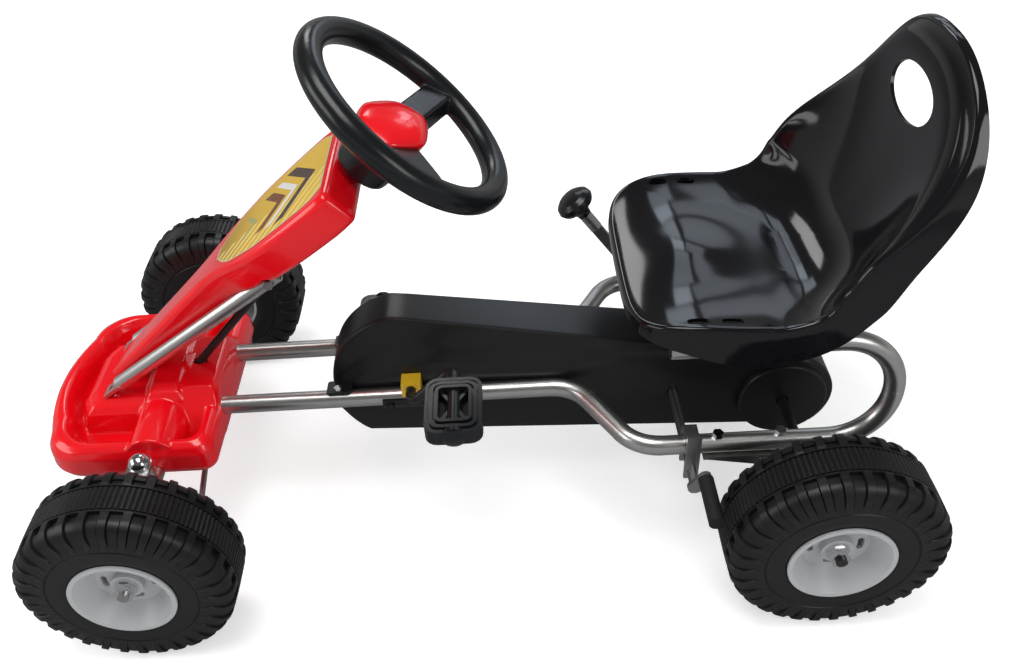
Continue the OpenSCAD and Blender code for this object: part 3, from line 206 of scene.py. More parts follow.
def round_bar(name, a, b, r, sides=32):
    """A closed cylinder between two points."""
    a, b = Vector(a), Vector(b)
    d = (b - a).normalized()
    side = d.orthogonal().normalized()
    up = d.cross(side)
    ring = [side * math.cos(t) + up * math.sin(t) for t in circle(sides)]
    verts = [p + k * r for p in (a, b) for k in ring]
    faces = grid_faces(2, sides, close_cols=True)
    faces += [tuple(range(sides))[::-1], tuple(range(sides, 2 * sides))]
    return outward(link_mesh(name, verts, faces))


def stack(name, rings):
    """A closed solid from rings of points in millimetres, laid one on another."""
    n = len(rings[0])
    faces = grid_faces(len(rings), n, close_cols=True)
    faces += [tuple(range(n)), tuple(range((len(rings) - 1) * n, len(rings) * n))]
    return outward(link_mesh(name, [p * MM for r in rings for p in r], faces))


def copy_node(name, node):
    """A mesh copy of a CAD node, with its loose triangles merged."""
    obj = add_object(name, nodes[node].data.copy())
    bm = bmesh.new()
    bm.from_mesh(obj.data)
    bmesh.ops.remove_doubles(bm, verts=bm.verts, dist=2e-6)
    bm.to_mesh(obj.data)
    bm.free()
    obj.data.materials.clear()
    return obj


def smoothstep(t):
    """A soft step from 0 to 1 as t goes from 0 to 1."""
    t = min(1.0, max(0.0, t))
    return t * t * (3 - 2 * t)


def mix(a, b, t):
    """The value that lies a share t of the way from a to b."""
    return a + (b - a) * t


def tri_count(obj):
    """How many triangles an object's faces make."""
    return sum(len(p.vertices) - 2 for p in obj.data.polygons)


print("shaping helpers ready")


# %% [markdown]
# ## Finishes
# Moulded plastic, plated steel and rubber share three effects: a fine skin grain, slow colour drift from
# moulding or plating, and dust and rubbing that show on handled parts. Two node groups hold them and are
# built once. They hand out only masks and heights; the shader itself stays in each material.

# %% Shared effects
def set_inputs(node, **values):
    """Plain values for a node's sockets; an underscore stands for a space."""
    for label, value in values.items():
        node.inputs[label.replace("_", " ")].default_value = value


def new_group(name, inputs, outputs):
    """An empty node group with number sockets, and its two end nodes."""
    tree = bpy.data.node_groups.new(name, "ShaderNodeTree")
    for label, value in inputs:
        s = tree.interface.new_socket(label, in_out="INPUT", socket_type="NodeSocketFloat")
        s.default_value = value
    for label in outputs:
        tree.interface.new_socket(label, in_out="OUTPUT", socket_type="NodeSocketFloat")
    return tree, tree.nodes.new("NodeGroupInput"), tree.nodes.new("NodeGroupOutput")


def noise_node(tree, scale, detail, rough=0.55):
    """A noise texture of a given fineness."""
    n = tree.nodes.new("ShaderNodeTexNoise")
    set_inputs(n, Scale=scale, Detail=detail, Roughness=rough)
    return n


def math_node(tree, op, a=None, b=None):
    """The result of one sum; a and b are numbers or other nodes' outputs."""
    n = tree.nodes.new("ShaderNodeMath")
    n.operation = op
    for i, v in enumerate((a, b)):
        if v is None:
            continue
        if isinstance(v, (int, float)):
            n.inputs[i].default_value = v
        else:
            tree.links.new(v, n.inputs[i])
    return n.outputs[0]


def blend(tree, fac, a, b):
    """A colour between a and b, which are colours or other nodes' outputs."""
    n = tree.nodes.new("ShaderNodeMix")
    n.data_type = "RGBA"
    tree.links.new(fac, n.inputs["Factor"])
    for socket, v in (("A", a), ("B", b)):
        if isinstance(v, tuple):
            n.inputs[socket].default_value = (*v, 1)
        else:
            tree.links.new(v, n.inputs[socket])
    return n.outputs["Result"]


def group_node(tree, group, **values):
    """A node that stands for a group, with its own values."""
    n = tree.nodes.new("ShaderNodeGroup")
    n.node_tree = group
    set_inputs(n, **values)
    return n


print("node helpers ready")

# %% [markdown]
# The grain group adds a fine noise and a broad one for the height, and a slow one for the drift of colour.
# The rubbing group stretches a rough noise along the kart and keeps only its peaks, as scuffs do.

# %% Two groups
RUB_FROM, RUB_GAIN, BROAD_SHARE = 0.52, 6.0, 0.8
grain_group, gi, go = new_group("moulded grain", [("Scale", 900.0), ("Peel", 60.0)], ["Height", "Drift"])
coord = grain_group.nodes.new("ShaderNodeTexCoord")
fine = noise_node(grain_group, 900, 2)
broad = noise_node(grain_group, 60, 1)
drift = noise_node(grain_group, 9, 3)
for n in (fine, broad, drift):
    grain_group.links.new(coord.outputs["Object"], n.inputs["Vector"])
grain_group.links.new(gi.outputs["Scale"], fine.inputs["Scale"])
grain_group.links.new(gi.outputs["Peel"], broad.inputs["Scale"])
broad_part = math_node(grain_group, "MULTIPLY", broad.outputs["Fac"], BROAD_SHARE)
mixed = math_node(grain_group, "ADD", fine.outputs["Fac"], broad_part)
grain_group.links.new(mixed, go.inputs["Height"])
grain_group.links.new(drift.outputs["Fac"], go.inputs["Drift"])

rub_group, ri, ro = new_group("dust and rubbing", [("Scale", 40.0), ("Amount", 0.5)], ["Mask"])
coord = rub_group.nodes.new("ShaderNodeTexCoord")
stretch = rub_group.nodes.new("ShaderNodeMapping")
stretch.inputs["Scale"].default_value = (1.0, 3.0, 6.0)
rub_group.links.new(coord.outputs["Object"], stretch.inputs["Vector"])
patch = noise_node(rub_group, 40, 6, 0.7)
rub_group.links.new(stretch.outputs["Vector"], patch.inputs["Vector"])
rub_group.links.new(ri.outputs["Scale"], patch.inputs["Scale"])
lift = math_node(rub_group, "SUBTRACT", patch.outputs["Fac"], RUB_FROM)
lift = math_node(rub_group, "MULTIPLY", lift, RUB_GAIN)
clamped = rub_group.nodes.new("ShaderNodeClamp")
rub_group.links.new(lift, clamped.inputs["Value"])
rub_mask = math_node(rub_group, "MULTIPLY", clamped.outputs[0], ri.outputs["Amount"])
rub_group.links.new(rub_mask, ro.inputs["Mask"])
print("groups:", [g.name for g in bpy.data.node_groups])


# %% [markdown]
# A finish is a Principled shader whose colour drifts a little, whose roughness is broken up by the rubbing
# mask, and whose normal carries the grain. Plain numbers go straight on the shader's own sockets.

# %% Recipe for a finish
COAT_ROUGH, DUST_SHARE, RUB_ROUGH = 0.06, 0.12, 0.22


def finish(name, colour, rough, metallic=0.0, coat=0.0, drift=0.12, rub=0.25, rub_scale=40.0,
           dust=(0.5, 0.48, 0.45), grain=900.0, peel=60.0, bump=0.1, bump_mm=0.05):
    """A material of one colour and gloss, with its own amounts of grain, drift and rubbing."""
    mat = bpy.data.materials.new(name)
    mat.use_nodes = True
    tree = mat.node_tree
    shader = tree.nodes["Principled BSDF"]
    set_inputs(shader, Metallic=metallic, Coat_Weight=coat, Coat_Roughness=COAT_ROUGH)
    skin = group_node(tree, grain_group, Scale=grain, Peel=peel)
    rubbed = group_node(tree, rub_group, Scale=rub_scale, Amount=rub).outputs["Mask"]
    darker = tuple(c * (1 - drift) for c in colour)
    lighter = tuple(min(1, c * (1 + drift)) for c in colour)
    tone = blend(tree, skin.outputs["Drift"], darker, lighter)
    dusty = blend(tree, math_node(tree, "MULTIPLY", rubbed, DUST_SHARE), tone, dust)
    tree.links.new(dusty, shader.inputs["Base Color"])
    spread = math_node(tree, "ADD", math_node(tree, "MULTIPLY", rubbed, RUB_ROUGH), rough)
    tree.links.new(spread, shader.inputs["Roughness"])
    relief = tree.nodes.new("ShaderNodeBump")
    set_inputs(relief, Strength=bump, Distance=bump_mm * MM)
    tree.links.new(skin.outputs["Height"], relief.inputs["Height"])
    tree.links.new(relief.outputs["Normal"], shader.inputs["Normal"])
    return mat


print("recipe for a finish ready")

# %% [markdown]
# The values were matched to the picture. Black plastics differ mostly in roughness: the seat mirrors
# the lamps, the case and grips are satin, and the tyres are dull. Plated steel is metallic with a low
# roughness.

# %% Materials
red = finish("red moulded plastic", (0.80, 0.002, 0.008), 0.20, coat=0.5, drift=0.05, rub=0.08,
             dust=(0.85, 0.2, 0.2), grain=500, peel=38, bump=0.1, bump_mm=0.07)
seat_black = finish("glossy seat plastic", (0.005, 0.005, 0.006), 0.09, drift=0.2, rub=0.06, rub_scale=18,
                    dust=(0.1, 0.1, 0.11), grain=700, peel=28, bump=0.1, bump_mm=0.09)
case_black = finish("satin case plastic", (0.007, 0.007, 0.008), 0.34, drift=0.2, rub=0.1, rub_scale=22,
                    dust=(0.1, 0.1, 0.1), grain=1400, peel=120, bump=0.22, bump_mm=0.1)
grip_black = finish("grip plastic", (0.006, 0.007, 0.008), 0.24, drift=0.2, rub=0.12, dust=(0.1, 0.1, 0.1),
                    grain=1200, peel=90, bump=0.2, bump_mm=0.1)
tyre_black = finish("tyre plastic", (0.006, 0.006, 0.0065), 0.40, drift=0.25, rub=0.25, rub_scale=60,
                    dust=(0.07, 0.07, 0.075), grain=800, peel=150, bump=0.3, bump_mm=0.18)
rim_grey = finish("grey rim plastic", (0.44, 0.45, 0.46), 0.36, drift=0.06, rub=0.2, dust=(0.3, 0.29, 0.28),
                  grain=900, peel=80, bump=0.15, bump_mm=0.1)
zinc = finish("plated tube", (0.72, 0.71, 0.69), 0.30, metallic=1.0, drift=0.05, rub=0.06, rub_scale=9,
              dust=(0.45, 0.44, 0.42), grain=1500, peel=200, bump=0.0, bump_mm=0.02)
plate = finish("plated bracket", (0.52, 0.52, 0.51), 0.34, metallic=1.0, drift=0.1, rub=0.25, rub_scale=60,
               dust=(0.3, 0.29, 0.27), grain=1500, peel=200, bump=0.1, bump_mm=0.05)
chrome = finish("bright fastener", (0.80, 0.80, 0.81), 0.12, metallic=1.0, drift=0.05, rub=0.2,
                rub_scale=120, dust=(0.4, 0.38, 0.35), grain=1500, peel=300, bump=0.05, bump_mm=0.03)
black_steel = finish("blacked steel", (0.012, 0.012, 0.013), 0.32, drift=0.2, rub=0.2, rub_scale=80,
                     dust=(0.12, 0.12, 0.12), grain=1200, peel=160, bump=0.15, bump_mm=0.06)
yellow = finish("yellow nylon", (0.76, 0.46, 0.02), 0.36, drift=0.1, rub=0.2, dust=(0.3, 0.24, 0.1),
                grain=1000, peel=90, bump=0.15, bump_mm=0.08)
chain_steel = finish("oiled chain", (0.16, 0.15, 0.14), 0.35, metallic=1.0, drift=0.2, rub=0.5, grain=1200)
rubber = finish("brake rubber", (0.010, 0.010, 0.010), 0.55, drift=0.2, rub=0.3, dust=(0.1, 0.1, 0.1),
                grain=900, peel=160, bump=0.3, bump_mm=0.12)
print("materials:", len(bpy.data.materials))

# %% [markdown]
# The frame's record names a material slot for each piece. One table gives every slot its finish, so the
# plated tubes, brackets, bolts and bushes keep their CAD shapes and only change their looks.

# %% Dress the frame
FINISH_OF_SLOT = {"zinc_tube": zinc, "zinc_plate": plate, "red_plastic": red, "decal": red,
                  "gloss_black": seat_black, "satin_black": grip_black, "black_steel": black_steel,
                  "chrome_hardware": chrome, "yellow_bush": yellow, "chain_steel": chain_steel,
                  "tyre": tyre_black, "rim_grey": rim_grey, "brake_rubber": rubber}
for part in frame["record"]["subparts"]:
    data = nodes[part["node"]].data
    data.materials.clear()
    data.materials.append(FINISH_OF_SLOT[part["material_slot"]])
for name in ("chain_case_left", "chain_case_right"):
    nodes[name].data.materials[0] = case_black


def dress(obj, mat, body, *replaced):
    """Gives a finished piece its material and its body, and hides the CAD nodes that it stands for."""
    obj.data.materials.clear()
    obj.data.materials.append(mat)
    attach(obj, body)
    if replaced:
        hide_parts(*replaced)
    print(obj.name, "triangles:", tri_count(obj))
    return obj


# %% [markdown]
# ## Stage
# A pale floor and a white world stand for the studio. Reflections see a darker room, so that black plastic
# stays black, red stays red and plated tubes get dark bands between their highlights. Large soft lamps
# shape the kart, and a wall of small bluish panes on the far side gives the broken patches of light on the
# glossy seat.

# %% Floor
FLOOR_PALE, FLOOR_MIRRORED, FLOOR_GLOW = (0.86, 0.86, 0.86), (0.26, 0.26, 0.27), 0.45
bm = bmesh.new()
bmesh.ops.create_grid(bm, x_segments=1, y_segments=1, size=12)
floor_mesh = bpy.data.meshes.new("floor")
bm.to_mesh(floor_mesh)
bm.free()
floor = add_object("floor", floor_mesh)
floor_mat = bpy.data.materials.new("pale floor")
floor_mat.use_nodes = True
ft = floor_mat.node_tree
fs = ft.nodes["Principled BSDF"]
set_inputs(fs, Roughness=0.9, Specular_IOR_Level=0.1, Emission_Color=(1, 1, 1, 1))
path = ft.nodes.new("ShaderNodeLightPath")
glow = math_node(ft, "MULTIPLY", path.outputs["Is Camera Ray"], FLOOR_GLOW)
ft.links.new(glow, fs.inputs["Emission Strength"])
shown = blend(ft, path.outputs["Is Glossy Ray"], FLOOR_PALE, FLOOR_MIRRORED)
ft.links.new(shown, fs.inputs["Base Color"])
floor_mesh.materials.append(floor_mat)
print("floor", tuple(round(v, 1) for v in floor.dimensions))

# %% [markdown]
# The world answers each kind of ray in its own way: the camera sees white, the kart is lit by a plain grey,
# and reflections see a room that is lighter at the horizon and darker overhead.

# %% World
LIT_BY, MIRROR_LOW, MIRROR_HIGH, MIRROR_TOP = 0.62, 0.42, 0.10, 0.45
world = bpy.data.worlds.new("studio")
bpy.context.scene.world = world
world.use_nodes = True
wt = world.node_tree
path = wt.nodes.new("ShaderNodeLightPath")
seen = math_node(wt, "MAXIMUM", path.outputs["Is Camera Ray"], path.outputs["Is Transmission Ray"])
way = wt.nodes.new("ShaderNodeTexCoord")
height = wt.nodes.new("ShaderNodeSeparateXYZ")
wt.links.new(way.outputs["Generated"], height.inputs[0])
band = wt.nodes.new("ShaderNodeMapRange")
band.interpolation_type = "SMOOTHSTEP"
set_inputs(band, From_Max=MIRROR_TOP, To_Min=MIRROR_LOW, To_Max=MIRROR_HIGH)
wt.links.new(height.outputs["Z"], band.inputs["Value"])
mirrored = wt.nodes.new("ShaderNodeMix")
mirrored.inputs["A"].default_value = LIT_BY
wt.links.new(path.outputs["Is Glossy Ray"], mirrored.inputs["Factor"])
wt.links.new(band.outputs["Result"], mirrored.inputs["B"])
level_node = wt.nodes.new("ShaderNodeMix")
level_node.inputs["B"].default_value = 1.0
wt.links.new(mirrored.outputs["Result"], level_node.inputs["A"])
wt.links.new(seen, level_node.inputs["Factor"])
wt.nodes["Background"].inputs["Color"].default_value = (1, 1, 1, 1)
wt.links.new(level_node.outputs["Result"], wt.nodes["Background"].inputs["Strength"])
print("world nodes:", len(wt.nodes))


# %% [markdown]
# Four large lamps give soft highlights along the tubes and the red shell. The panes are smaller lamps in two
# columns and three rows, as in a window. Each has its place along and up the far wall, a size and a power.

# %% Lamps
def soft_lamp(name, at, target, size, power, colour=(1, 1, 1)):
    """A rectangular lamp in metres and watts that faces a target."""
    lamp = bpy.data.lights.new(name, "AREA")
    lamp.color = colour
    lamp.shape, lamp.size, lamp.size_y, lamp.energy = "RECTANGLE", size[0], size[1], power
    obj = add_object(name, lamp)
    obj.location = at
    obj.rotation_euler = (Vector(target) - Vector(at)).to_track_quat("-Z", "Y").to_euler()


soft_lamp("overhead", (0.3, 0.2, 2.6), (0, 0, 0.2), (1.6, 1.1), 26)
soft_lamp("side", (-1.7, 1.7, 1.7), (-0.2, 0, 0.3), (0.9, 1.2), 12)
soft_lamp("front", (2.1, 0.4, 1.3), (0.0, 0, 0.35), (1.7, 0.8), 12)
soft_lamp("far window", (0.35, -1.9, 1.75), (0, 0, 0.3), (0.5, 0.6), 4)
PANES = [(-0.46, 1.26, 0.40, 0.26, 0.62), (-0.98, 1.25, 0.42, 0.26, 0.40), (-0.56, 1.62, 0.30, 0.30, 0.85),
         (-0.96, 1.66, 0.36, 0.30, 0.45), (-0.62, 2.04, 0.46, 0.30, 0.80), (-1.16, 2.10, 0.36, 0.32, 0.55)]
FAR_WALL, PANE_TARGET, PANE_BLUE = -1.9, (-0.26, 0, 0.33), (0.78, 0.88, 1.0)
for k, (x, z, w, h, power) in enumerate(PANES):
    soft_lamp("pane %d" % k, (x, FAR_WALL, z), PANE_TARGET, (w, h), power, PANE_BLUE)
bpy.context.scene.view_settings.view_transform = "Standard"
print("lamps:", len(bpy.data.lights))

# %% [markdown]
# ## Tyres
# The tyres are blow-moulded: a hollow carcass whose tread repeats 32 times round the wheel. One sector
# holds a raised rib that runs down the shoulder, a block beside it, a deep pocket, and a share of the
# finely ribbed middle band. Geometry Nodes repeats the sector round the axle, so one small mesh and one
# number make the whole tread.

# %% Tree that repeats a sector round an axle
def ring_tree():
    """A tree that copies a sector round the Y axis, welds it, puts the ring in place and paints it."""
    tree = bpy.data.node_groups.new("ring of sectors", "GeometryNodeTree")
    for label, kind in (("Geometry", "Geometry"), ("Count", "Int"), ("Place", "Vector"), ("Turn", "Vector"),
                        ("Finish", "Material")):
        tree.interface.new_socket(label, in_out="INPUT", socket_type="NodeSocket" + kind)
    tree.interface.new_socket("Geometry", in_out="OUTPUT", socket_type="NodeSocketGeometry")
    add, link = tree.nodes.new, tree.links.new
    start, end = add("NodeGroupInput"), add("NodeGroupOutput")
    points = add("GeometryNodeMeshLine")
    points.inputs["Offset"].default_value = (0, 0, 0)
    link(start.outputs["Count"], points.inputs["Count"])
    step = math_node(tree, "DIVIDE", 2 * math.pi)
    link(start.outputs["Count"], step.node.inputs[1])
    angle = math_node(tree, "MULTIPLY", add("GeometryNodeInputIndex").outputs[0], step)
    euler = add("ShaderNodeCombineXYZ")
    link(angle, euler.inputs["Y"])
    copies = add("GeometryNodeInstanceOnPoints")
    link(points.outputs["Mesh"], copies.inputs["Points"])
    link(start.outputs["Geometry"], copies.inputs["Instance"])
    link(euler.outputs["Vector"], copies.inputs["Rotation"])
    real = add("GeometryNodeRealizeInstances")
    link(copies.outputs["Instances"], real.inputs["Geometry"])
    weld = add("GeometryNodeMergeByDistance")
    weld.inputs["Distance"].default_value = 2e-6
    link(real.outputs["Geometry"], weld.inputs["Geometry"])
    put = add("GeometryNodeTransform")
    link(weld.outputs["Geometry"], put.inputs["Geometry"])
    link(start.outputs["Place"], put.inputs["Translation"])
    link(start.outputs["Turn"], put.inputs["Rotation"])
    paint = add("GeometryNodeSetMaterial")
    link(put.outputs["Geometry"], paint.inputs["Geometry"])
    link(start.outputs["Finish"], paint.inputs["Material"])
    link(paint.outputs["Geometry"], end.inputs["Geometry"])
    return tree


RING = ring_tree()


def ring_of(obj, count, place, turn, mat):
    """Repeats a sector mesh round its Y axis, puts the ring in place and makes it plain mesh."""
    mod = obj.modifiers.new("ring", "NODES")
    mod.node_group = RING
    values = {"Count": count, "Place": place, "Turn": turn, "Finish": mat}
    for item in RING.interface.items_tree:
        if item.in_out == "INPUT" and item.name in values:
            mod[item.identifier] = values[item.name]
    obj.update_tag()
    bpy.context.view_layer.update()
    return bake(obj)


print("ring tree:", len(RING.nodes), "nodes")

# %% [markdown]
# The sector is a height field on the tyre's half section. Grid lines come in close pairs wherever a rib,
# block or pocket has a wall, so that the walls stay steep without a dense mesh.

# %% One tyre sector
WHEEL_R, TYRE_W, RIM_R, LUGS = 115.0, 84.0, 52.0, 32
PITCH = 2 * math.pi / LUGS
SHOULDER_AT, SHOULDER_DROP, SHOULDER_RISE, SHOULDER_OUT = 26, 16.4, 15.8, 16
SECTION_MID_R, FADE_FROM, FADE_RUN = 0.085, 81, 22
FLAT_PLACES = (15.2, 15.6, 17.6, 18.0, 21, 25.4, 25.8)
WALL_RADII = (95, 92, 89, 86, 83, 81, 79.6, 78.8, 78, 77.2, 72, 66, 61)
SHARES = (-0.5, -0.38, -0.255, -0.225, -0.19, 0, 0.19, 0.225, 0.255, 0.38, 0.5)
GROOVE_END, LINE_END, POCKET_END, RIB_END, RIB_FOOT_END, TREAD_END = 15.4, 17.8, 25.6, 0.20, 0.235, 80.5
GROOVE, LINE, POCKET, RIB_FOOT, BLOCK, WALL_RING = 4.2, 0.2, 5.0, 3.6, 2.3, 0.9
BAND_ROWS = [(-15.2, GROOVE), (-14.6, GROOVE), (-14.0, 0), (-7, 0), (0, 0), (7, 0), (14.0, 0),
             (14.6, GROOVE), (15.2, GROOVE)]
BAND_RIBS, BAND_NOTCH = 4, 1.3


def half_section():
    """Points (radius, distance from the middle plane) from the edge of the middle band round to the bead."""
    pts = [(WHEEL_R - 0.3 - 0.5 * (w / SHOULDER_AT) ** 2, w) for w in FLAT_PLACES]
    for a in np.linspace(90, 0, 13)[1:]:
        t = math.radians(a)
        r = WHEEL_R - SHOULDER_DROP + SHOULDER_RISE * math.sin(t)
        pts.append((r, SHOULDER_AT + SHOULDER_OUT * math.cos(t)))
    pts += [(r, TYRE_W / 2 - 0.9 * ((98 - r) / 40) ** 2) for r in WALL_RADII]
    return pts + [(57.5, 40.6), (54, 39), (RIM_R + 0.3, 37.5), (RIM_R + 0.3, 0)]


def tread_depth(share, r, w):
    """How far below the outer section the tread lies, at a share of the pitch and a place on the section."""
    if r < TREAD_END:
        return WALL_RING if 77.5 < r < 79.0 else 0.0
    if w < GROOVE_END:
        return GROOVE
    if w < LINE_END:
        return LINE
    if abs(share) < RIB_END:
        return 0.0
    if w < POCKET_END:
        return POCKET
    return (RIB_FOOT if abs(share) < RIB_FOOT_END else BLOCK) * smoothstep((r - FADE_FROM) / FADE_RUN)


def shoulder_sector(flip):
    """One pitch of a shoulder and side wall; the flipped one lies half a pitch further round."""
    section = half_section()
    verts = []
    for i, (r, w) in enumerate(section):
        r0, w0 = section[max(0, i - 1)]
        r1, w1 = section[min(len(section) - 1, i + 1)]
        run = math.hypot(r1 - r0, w1 - w0) or 1
        normal = ((w1 - w0) / run, -(r1 - r0) / run)
        for share in SHARES:
            d = tread_depth(share, r, w) if r > RIM_R + 1 else 0
            rr, ww = r - d * normal[0], w - d * normal[1]
            t = (share + (0.5 if flip < 0 else 0)) * PITCH
            verts.append((rr * math.sin(t) * MM, flip * ww * MM, rr * math.cos(t) * MM))
    return verts, grid_faces(len(section), len(SHARES))


def band_sector():
    """One pitch of the middle band: four cross ribs between the two side grooves."""
    shape = []
    for k in range(BAND_RIBS):
        for at, d in ((0.0, BAND_NOTCH), (0.06, 0.0), (0.17, 0.0), (0.23, BAND_NOTCH)):
            shape.append((-0.5 + 0.25 * k + at, d))
    shape.append((0.5, BAND_NOTCH))
    verts = []
    for w, sink in BAND_ROWS:
        for share, d in shape:
            r = WHEEL_R - 0.4 - 0.5 * (w / SHOULDER_AT) ** 2 - (sink or d)
            verts.append((r * math.sin(share * PITCH) * MM, w * MM, r * math.cos(share * PITCH) * MM))
    return verts, grid_faces(len(BAND_ROWS), len(shape))


def tyre_sector(name):
    """One pitch of the whole tyre, from bead to bead."""
    verts, faces = [], []
    for v, f in (shoulder_sector(1), band_sector(), shoulder_sector(-1)):
        faces += [tuple(i + len(verts) for i in q) for q in f]
        verts += v
    return link_mesh(name, verts, faces)


def face_from_axle(obj, centre):
    """Turns faces so that they look away from the middle of the tyre's ring-shaped section."""
    bm = bmesh.new()
    bm.from_mesh(obj.data)
    for f in bm.faces:
        c = f.calc_center_median() - Vector(centre)
        flat = Vector((c.x, 0, c.z)).normalized() * SECTION_MID_R
        if f.normal.dot(c - flat) < 0:
            f.normal_flip()
    bm.to_mesh(obj.data)
    bm.free()
    shade_smooth(obj, 38)


print("tyre: half section of", len(half_section()), "points,", LUGS, "sectors")

# %% [markdown]
# The four tyres are one moulding. They differ in their place, in the side they face and in the body they
# turn with: the left rear tyre turns with the driven axle, and the other three have bodies of their own.

# %% Four tyres
AXLE_X, WHEEL_Y, WHEEL_Z, TREAD_TURN = 0.375, 0.246, 0.115, 0.1
WHEELS = {"front_left": (AXLE_X, 1, "wheel_front_left"), "front_right": (AXLE_X, -1, "wheel_front_right"),
          "rear_left": (-AXLE_X, 1, "rear_axle"), "rear_right": (-AXLE_X, -1, "wheel_rear_right")}
for name, (x, side, body) in WHEELS.items():
    tyre = tyre_sector("tread_" + name)
    middle = (x, side * WHEEL_Y, WHEEL_Z)
    ring_of(tyre, LUGS, middle, (0, TREAD_TURN * side, 0 if side > 0 else math.pi), tyre_black)
    face_from_axle(tyre, middle)
    dress(tyre, tyre_black, body, "tyre_" + name)

# %% [markdown]
# ## Seat
# The seat is one sheet of plastic, formed over a mould: a pan, a tight bend, and a back that leans further
# as it rises. Its middle line is a straight, a small arc and a large arc. Points are laid over a square
# that is squeezed into the seat's rounded outline: nearly square in front, an arch on top. The pan's front
# rolls down, the sides rise beside the bend, and the rim of the back curls away in a quarter circle.

# %% Seat shape
SEAT = {"half": 153.5, "pan": 175.0, "back": 214.0, "slope": math.radians(-4), "bend": math.radians(69),
        "bend_r": 69.0, "lean": math.radians(23.5)}
SEAT["bend_len"] = SEAT["bend_r"] * SEAT["bend"]
SEAT["len"] = SEAT["pan"] + SEAT["bend_len"] + SEAT["back"]
BACK_R = SEAT["back"] / SEAT["lean"]
BEND_END = SEAT["pan"] + SEAT["bend_len"]
HEAD_ROUND, HEAD_EDGE = 15.0, 0.84
FRONT_POWER, HEAD_POWER = 6.0, 2.4
PAN_ROLL, PAN_ROLL_LEN = 13, 75
CROWN, CROWN_AT, CROWN_LEN, CROWN_W = 5, 75, 42, 55
WING_PAN, WING_BEND, WING_HEAD, WING_BEFORE, WING_RUN = 11, 46, 1, 40, 105
SKIRT_SIDE, SKIRT_HEAD, SKIRT_FRONT = 48, 24, 14


def seat_tilt(s):
    """The slope of the middle line at a length along it."""
    if s < SEAT["pan"]:
        return SEAT["slope"]
    if s < BEND_END:
        return SEAT["slope"] + SEAT["bend"] * (s - SEAT["pan"]) / SEAT["bend_len"]
    return SEAT["slope"] + SEAT["bend"] + SEAT["lean"] * (s - BEND_END) / SEAT["back"]


def arc_step(p, r, a0, a1):
    """The end of an arc that starts at p and turns from slope a0 to a1."""
    return p + r * Vector((-(math.sin(a1) - math.sin(a0)), 0, math.cos(a0) - math.cos(a1)))


SEAT_FRONT = Vector((-177, 0, 322))
BEND_LOW = SEAT_FRONT + SEAT["pan"] * Vector((-math.cos(SEAT["slope"]), 0, math.sin(SEAT["slope"])))
BEND_HIGH = arc_step(BEND_LOW, SEAT["bend_r"], SEAT["slope"], SEAT["slope"] + SEAT["bend"])


def seat_mid(s):
    """The point of the middle line at a length along it."""
    if s < SEAT["pan"]:
        return SEAT_FRONT + s * Vector((-math.cos(SEAT["slope"]), 0, math.sin(SEAT["slope"])))
    if s < BEND_END:
        return arc_step(BEND_LOW, SEAT["bend_r"], SEAT["slope"], seat_tilt(s))
    return arc_step(BEND_HIGH, BACK_R, SEAT["slope"] + SEAT["bend"], seat_tilt(s))


def seat_axes(s):
    """The ways along the middle line and out of the seat's upper face."""
    t = seat_tilt(s)
    return Vector((-math.cos(t), 0, math.sin(t))), Vector((math.sin(t), 0, math.cos(t)))


def seat_rise(s):
    """How far the sides stand above the middle line: most beside the bend, hardly at the head."""
    low = mix(WING_PAN, WING_BEND, smoothstep((s - SEAT["pan"] + WING_BEFORE) / WING_RUN))
    return mix(low, WING_HEAD, smoothstep((s - BEND_END - 20) / (SEAT["back"] - 40)))


def head_round(s, y):
    """How far the rim of the back curls away: a quarter circle over the outermost part of the outline."""
    u, v = abs(2 * s / SEAT["len"] - 1), abs(y) / SEAT["half"]
    t = ((u ** HEAD_POWER + v ** HEAD_POWER) ** (1 / HEAD_POWER) - HEAD_EDGE) / (1 - HEAD_EDGE)
    t = min(max(t, 0.0), 0.99)
    return HEAD_ROUND * smoothstep((s - BEND_END) / (0.6 * SEAT["back"])) * (1 - math.sqrt(1 - t * t))


def seat_skirt(u, v, s):
    """How deep the skirt hangs: deep along the sides, shallow in front and round the head."""
    side = mix(SKIRT_SIDE, SKIRT_HEAD - HEAD_ROUND, smoothstep((s - BEND_END) / SEAT["back"]))
    return mix(side, SKIRT_FRONT, smoothstep((-u / math.hypot(u, v) - 0.45) / 0.4))


def seat_surface(s, y):
    """A point of the upper face in millimetres: s along the middle line, y to the left."""
    normal = seat_axes(s)[1]
    lift = seat_rise(s) * (abs(y) / SEAT["half"]) ** 3 - PAN_ROLL * max(0, 1 - s / PAN_ROLL_LEN) ** 2
    lift += CROWN * math.exp(-((s - CROWN_AT) / CROWN_LEN) ** 2 - (y / CROWN_W) ** 2) - head_round(s, y)
    return seat_mid(s) + Vector((0, y, 0)) + normal * lift


def squeeze(u, v):
    """A point of the square -1..1 moved into the seat's outline: square corners in front, an arch on top."""
    m = max(abs(u), abs(v))
    if m < 1e-9:
        return 0.0, 0.0
    p = FRONT_POWER if u < 0 else HEAD_POWER
    k = m / (abs(u) ** p + abs(v) ** p) ** (1 / p)
    return u * k, v * k


print("seat: middle line of", round(SEAT["len"]), "mm, top", round(seat_mid(SEAT["len"]).z), "mm up")

# %% [markdown]
# The square grid is laid on the surface row by row. Then its rim is followed all the way round: six small
# steps roll it over and five more drop it as the skirt. Solidify gives the sheet its wall.

# %% Seat sheet
SEAT_N, SEAT_WALL = 72, 4
HALF_LEN = SEAT["len"] / 2


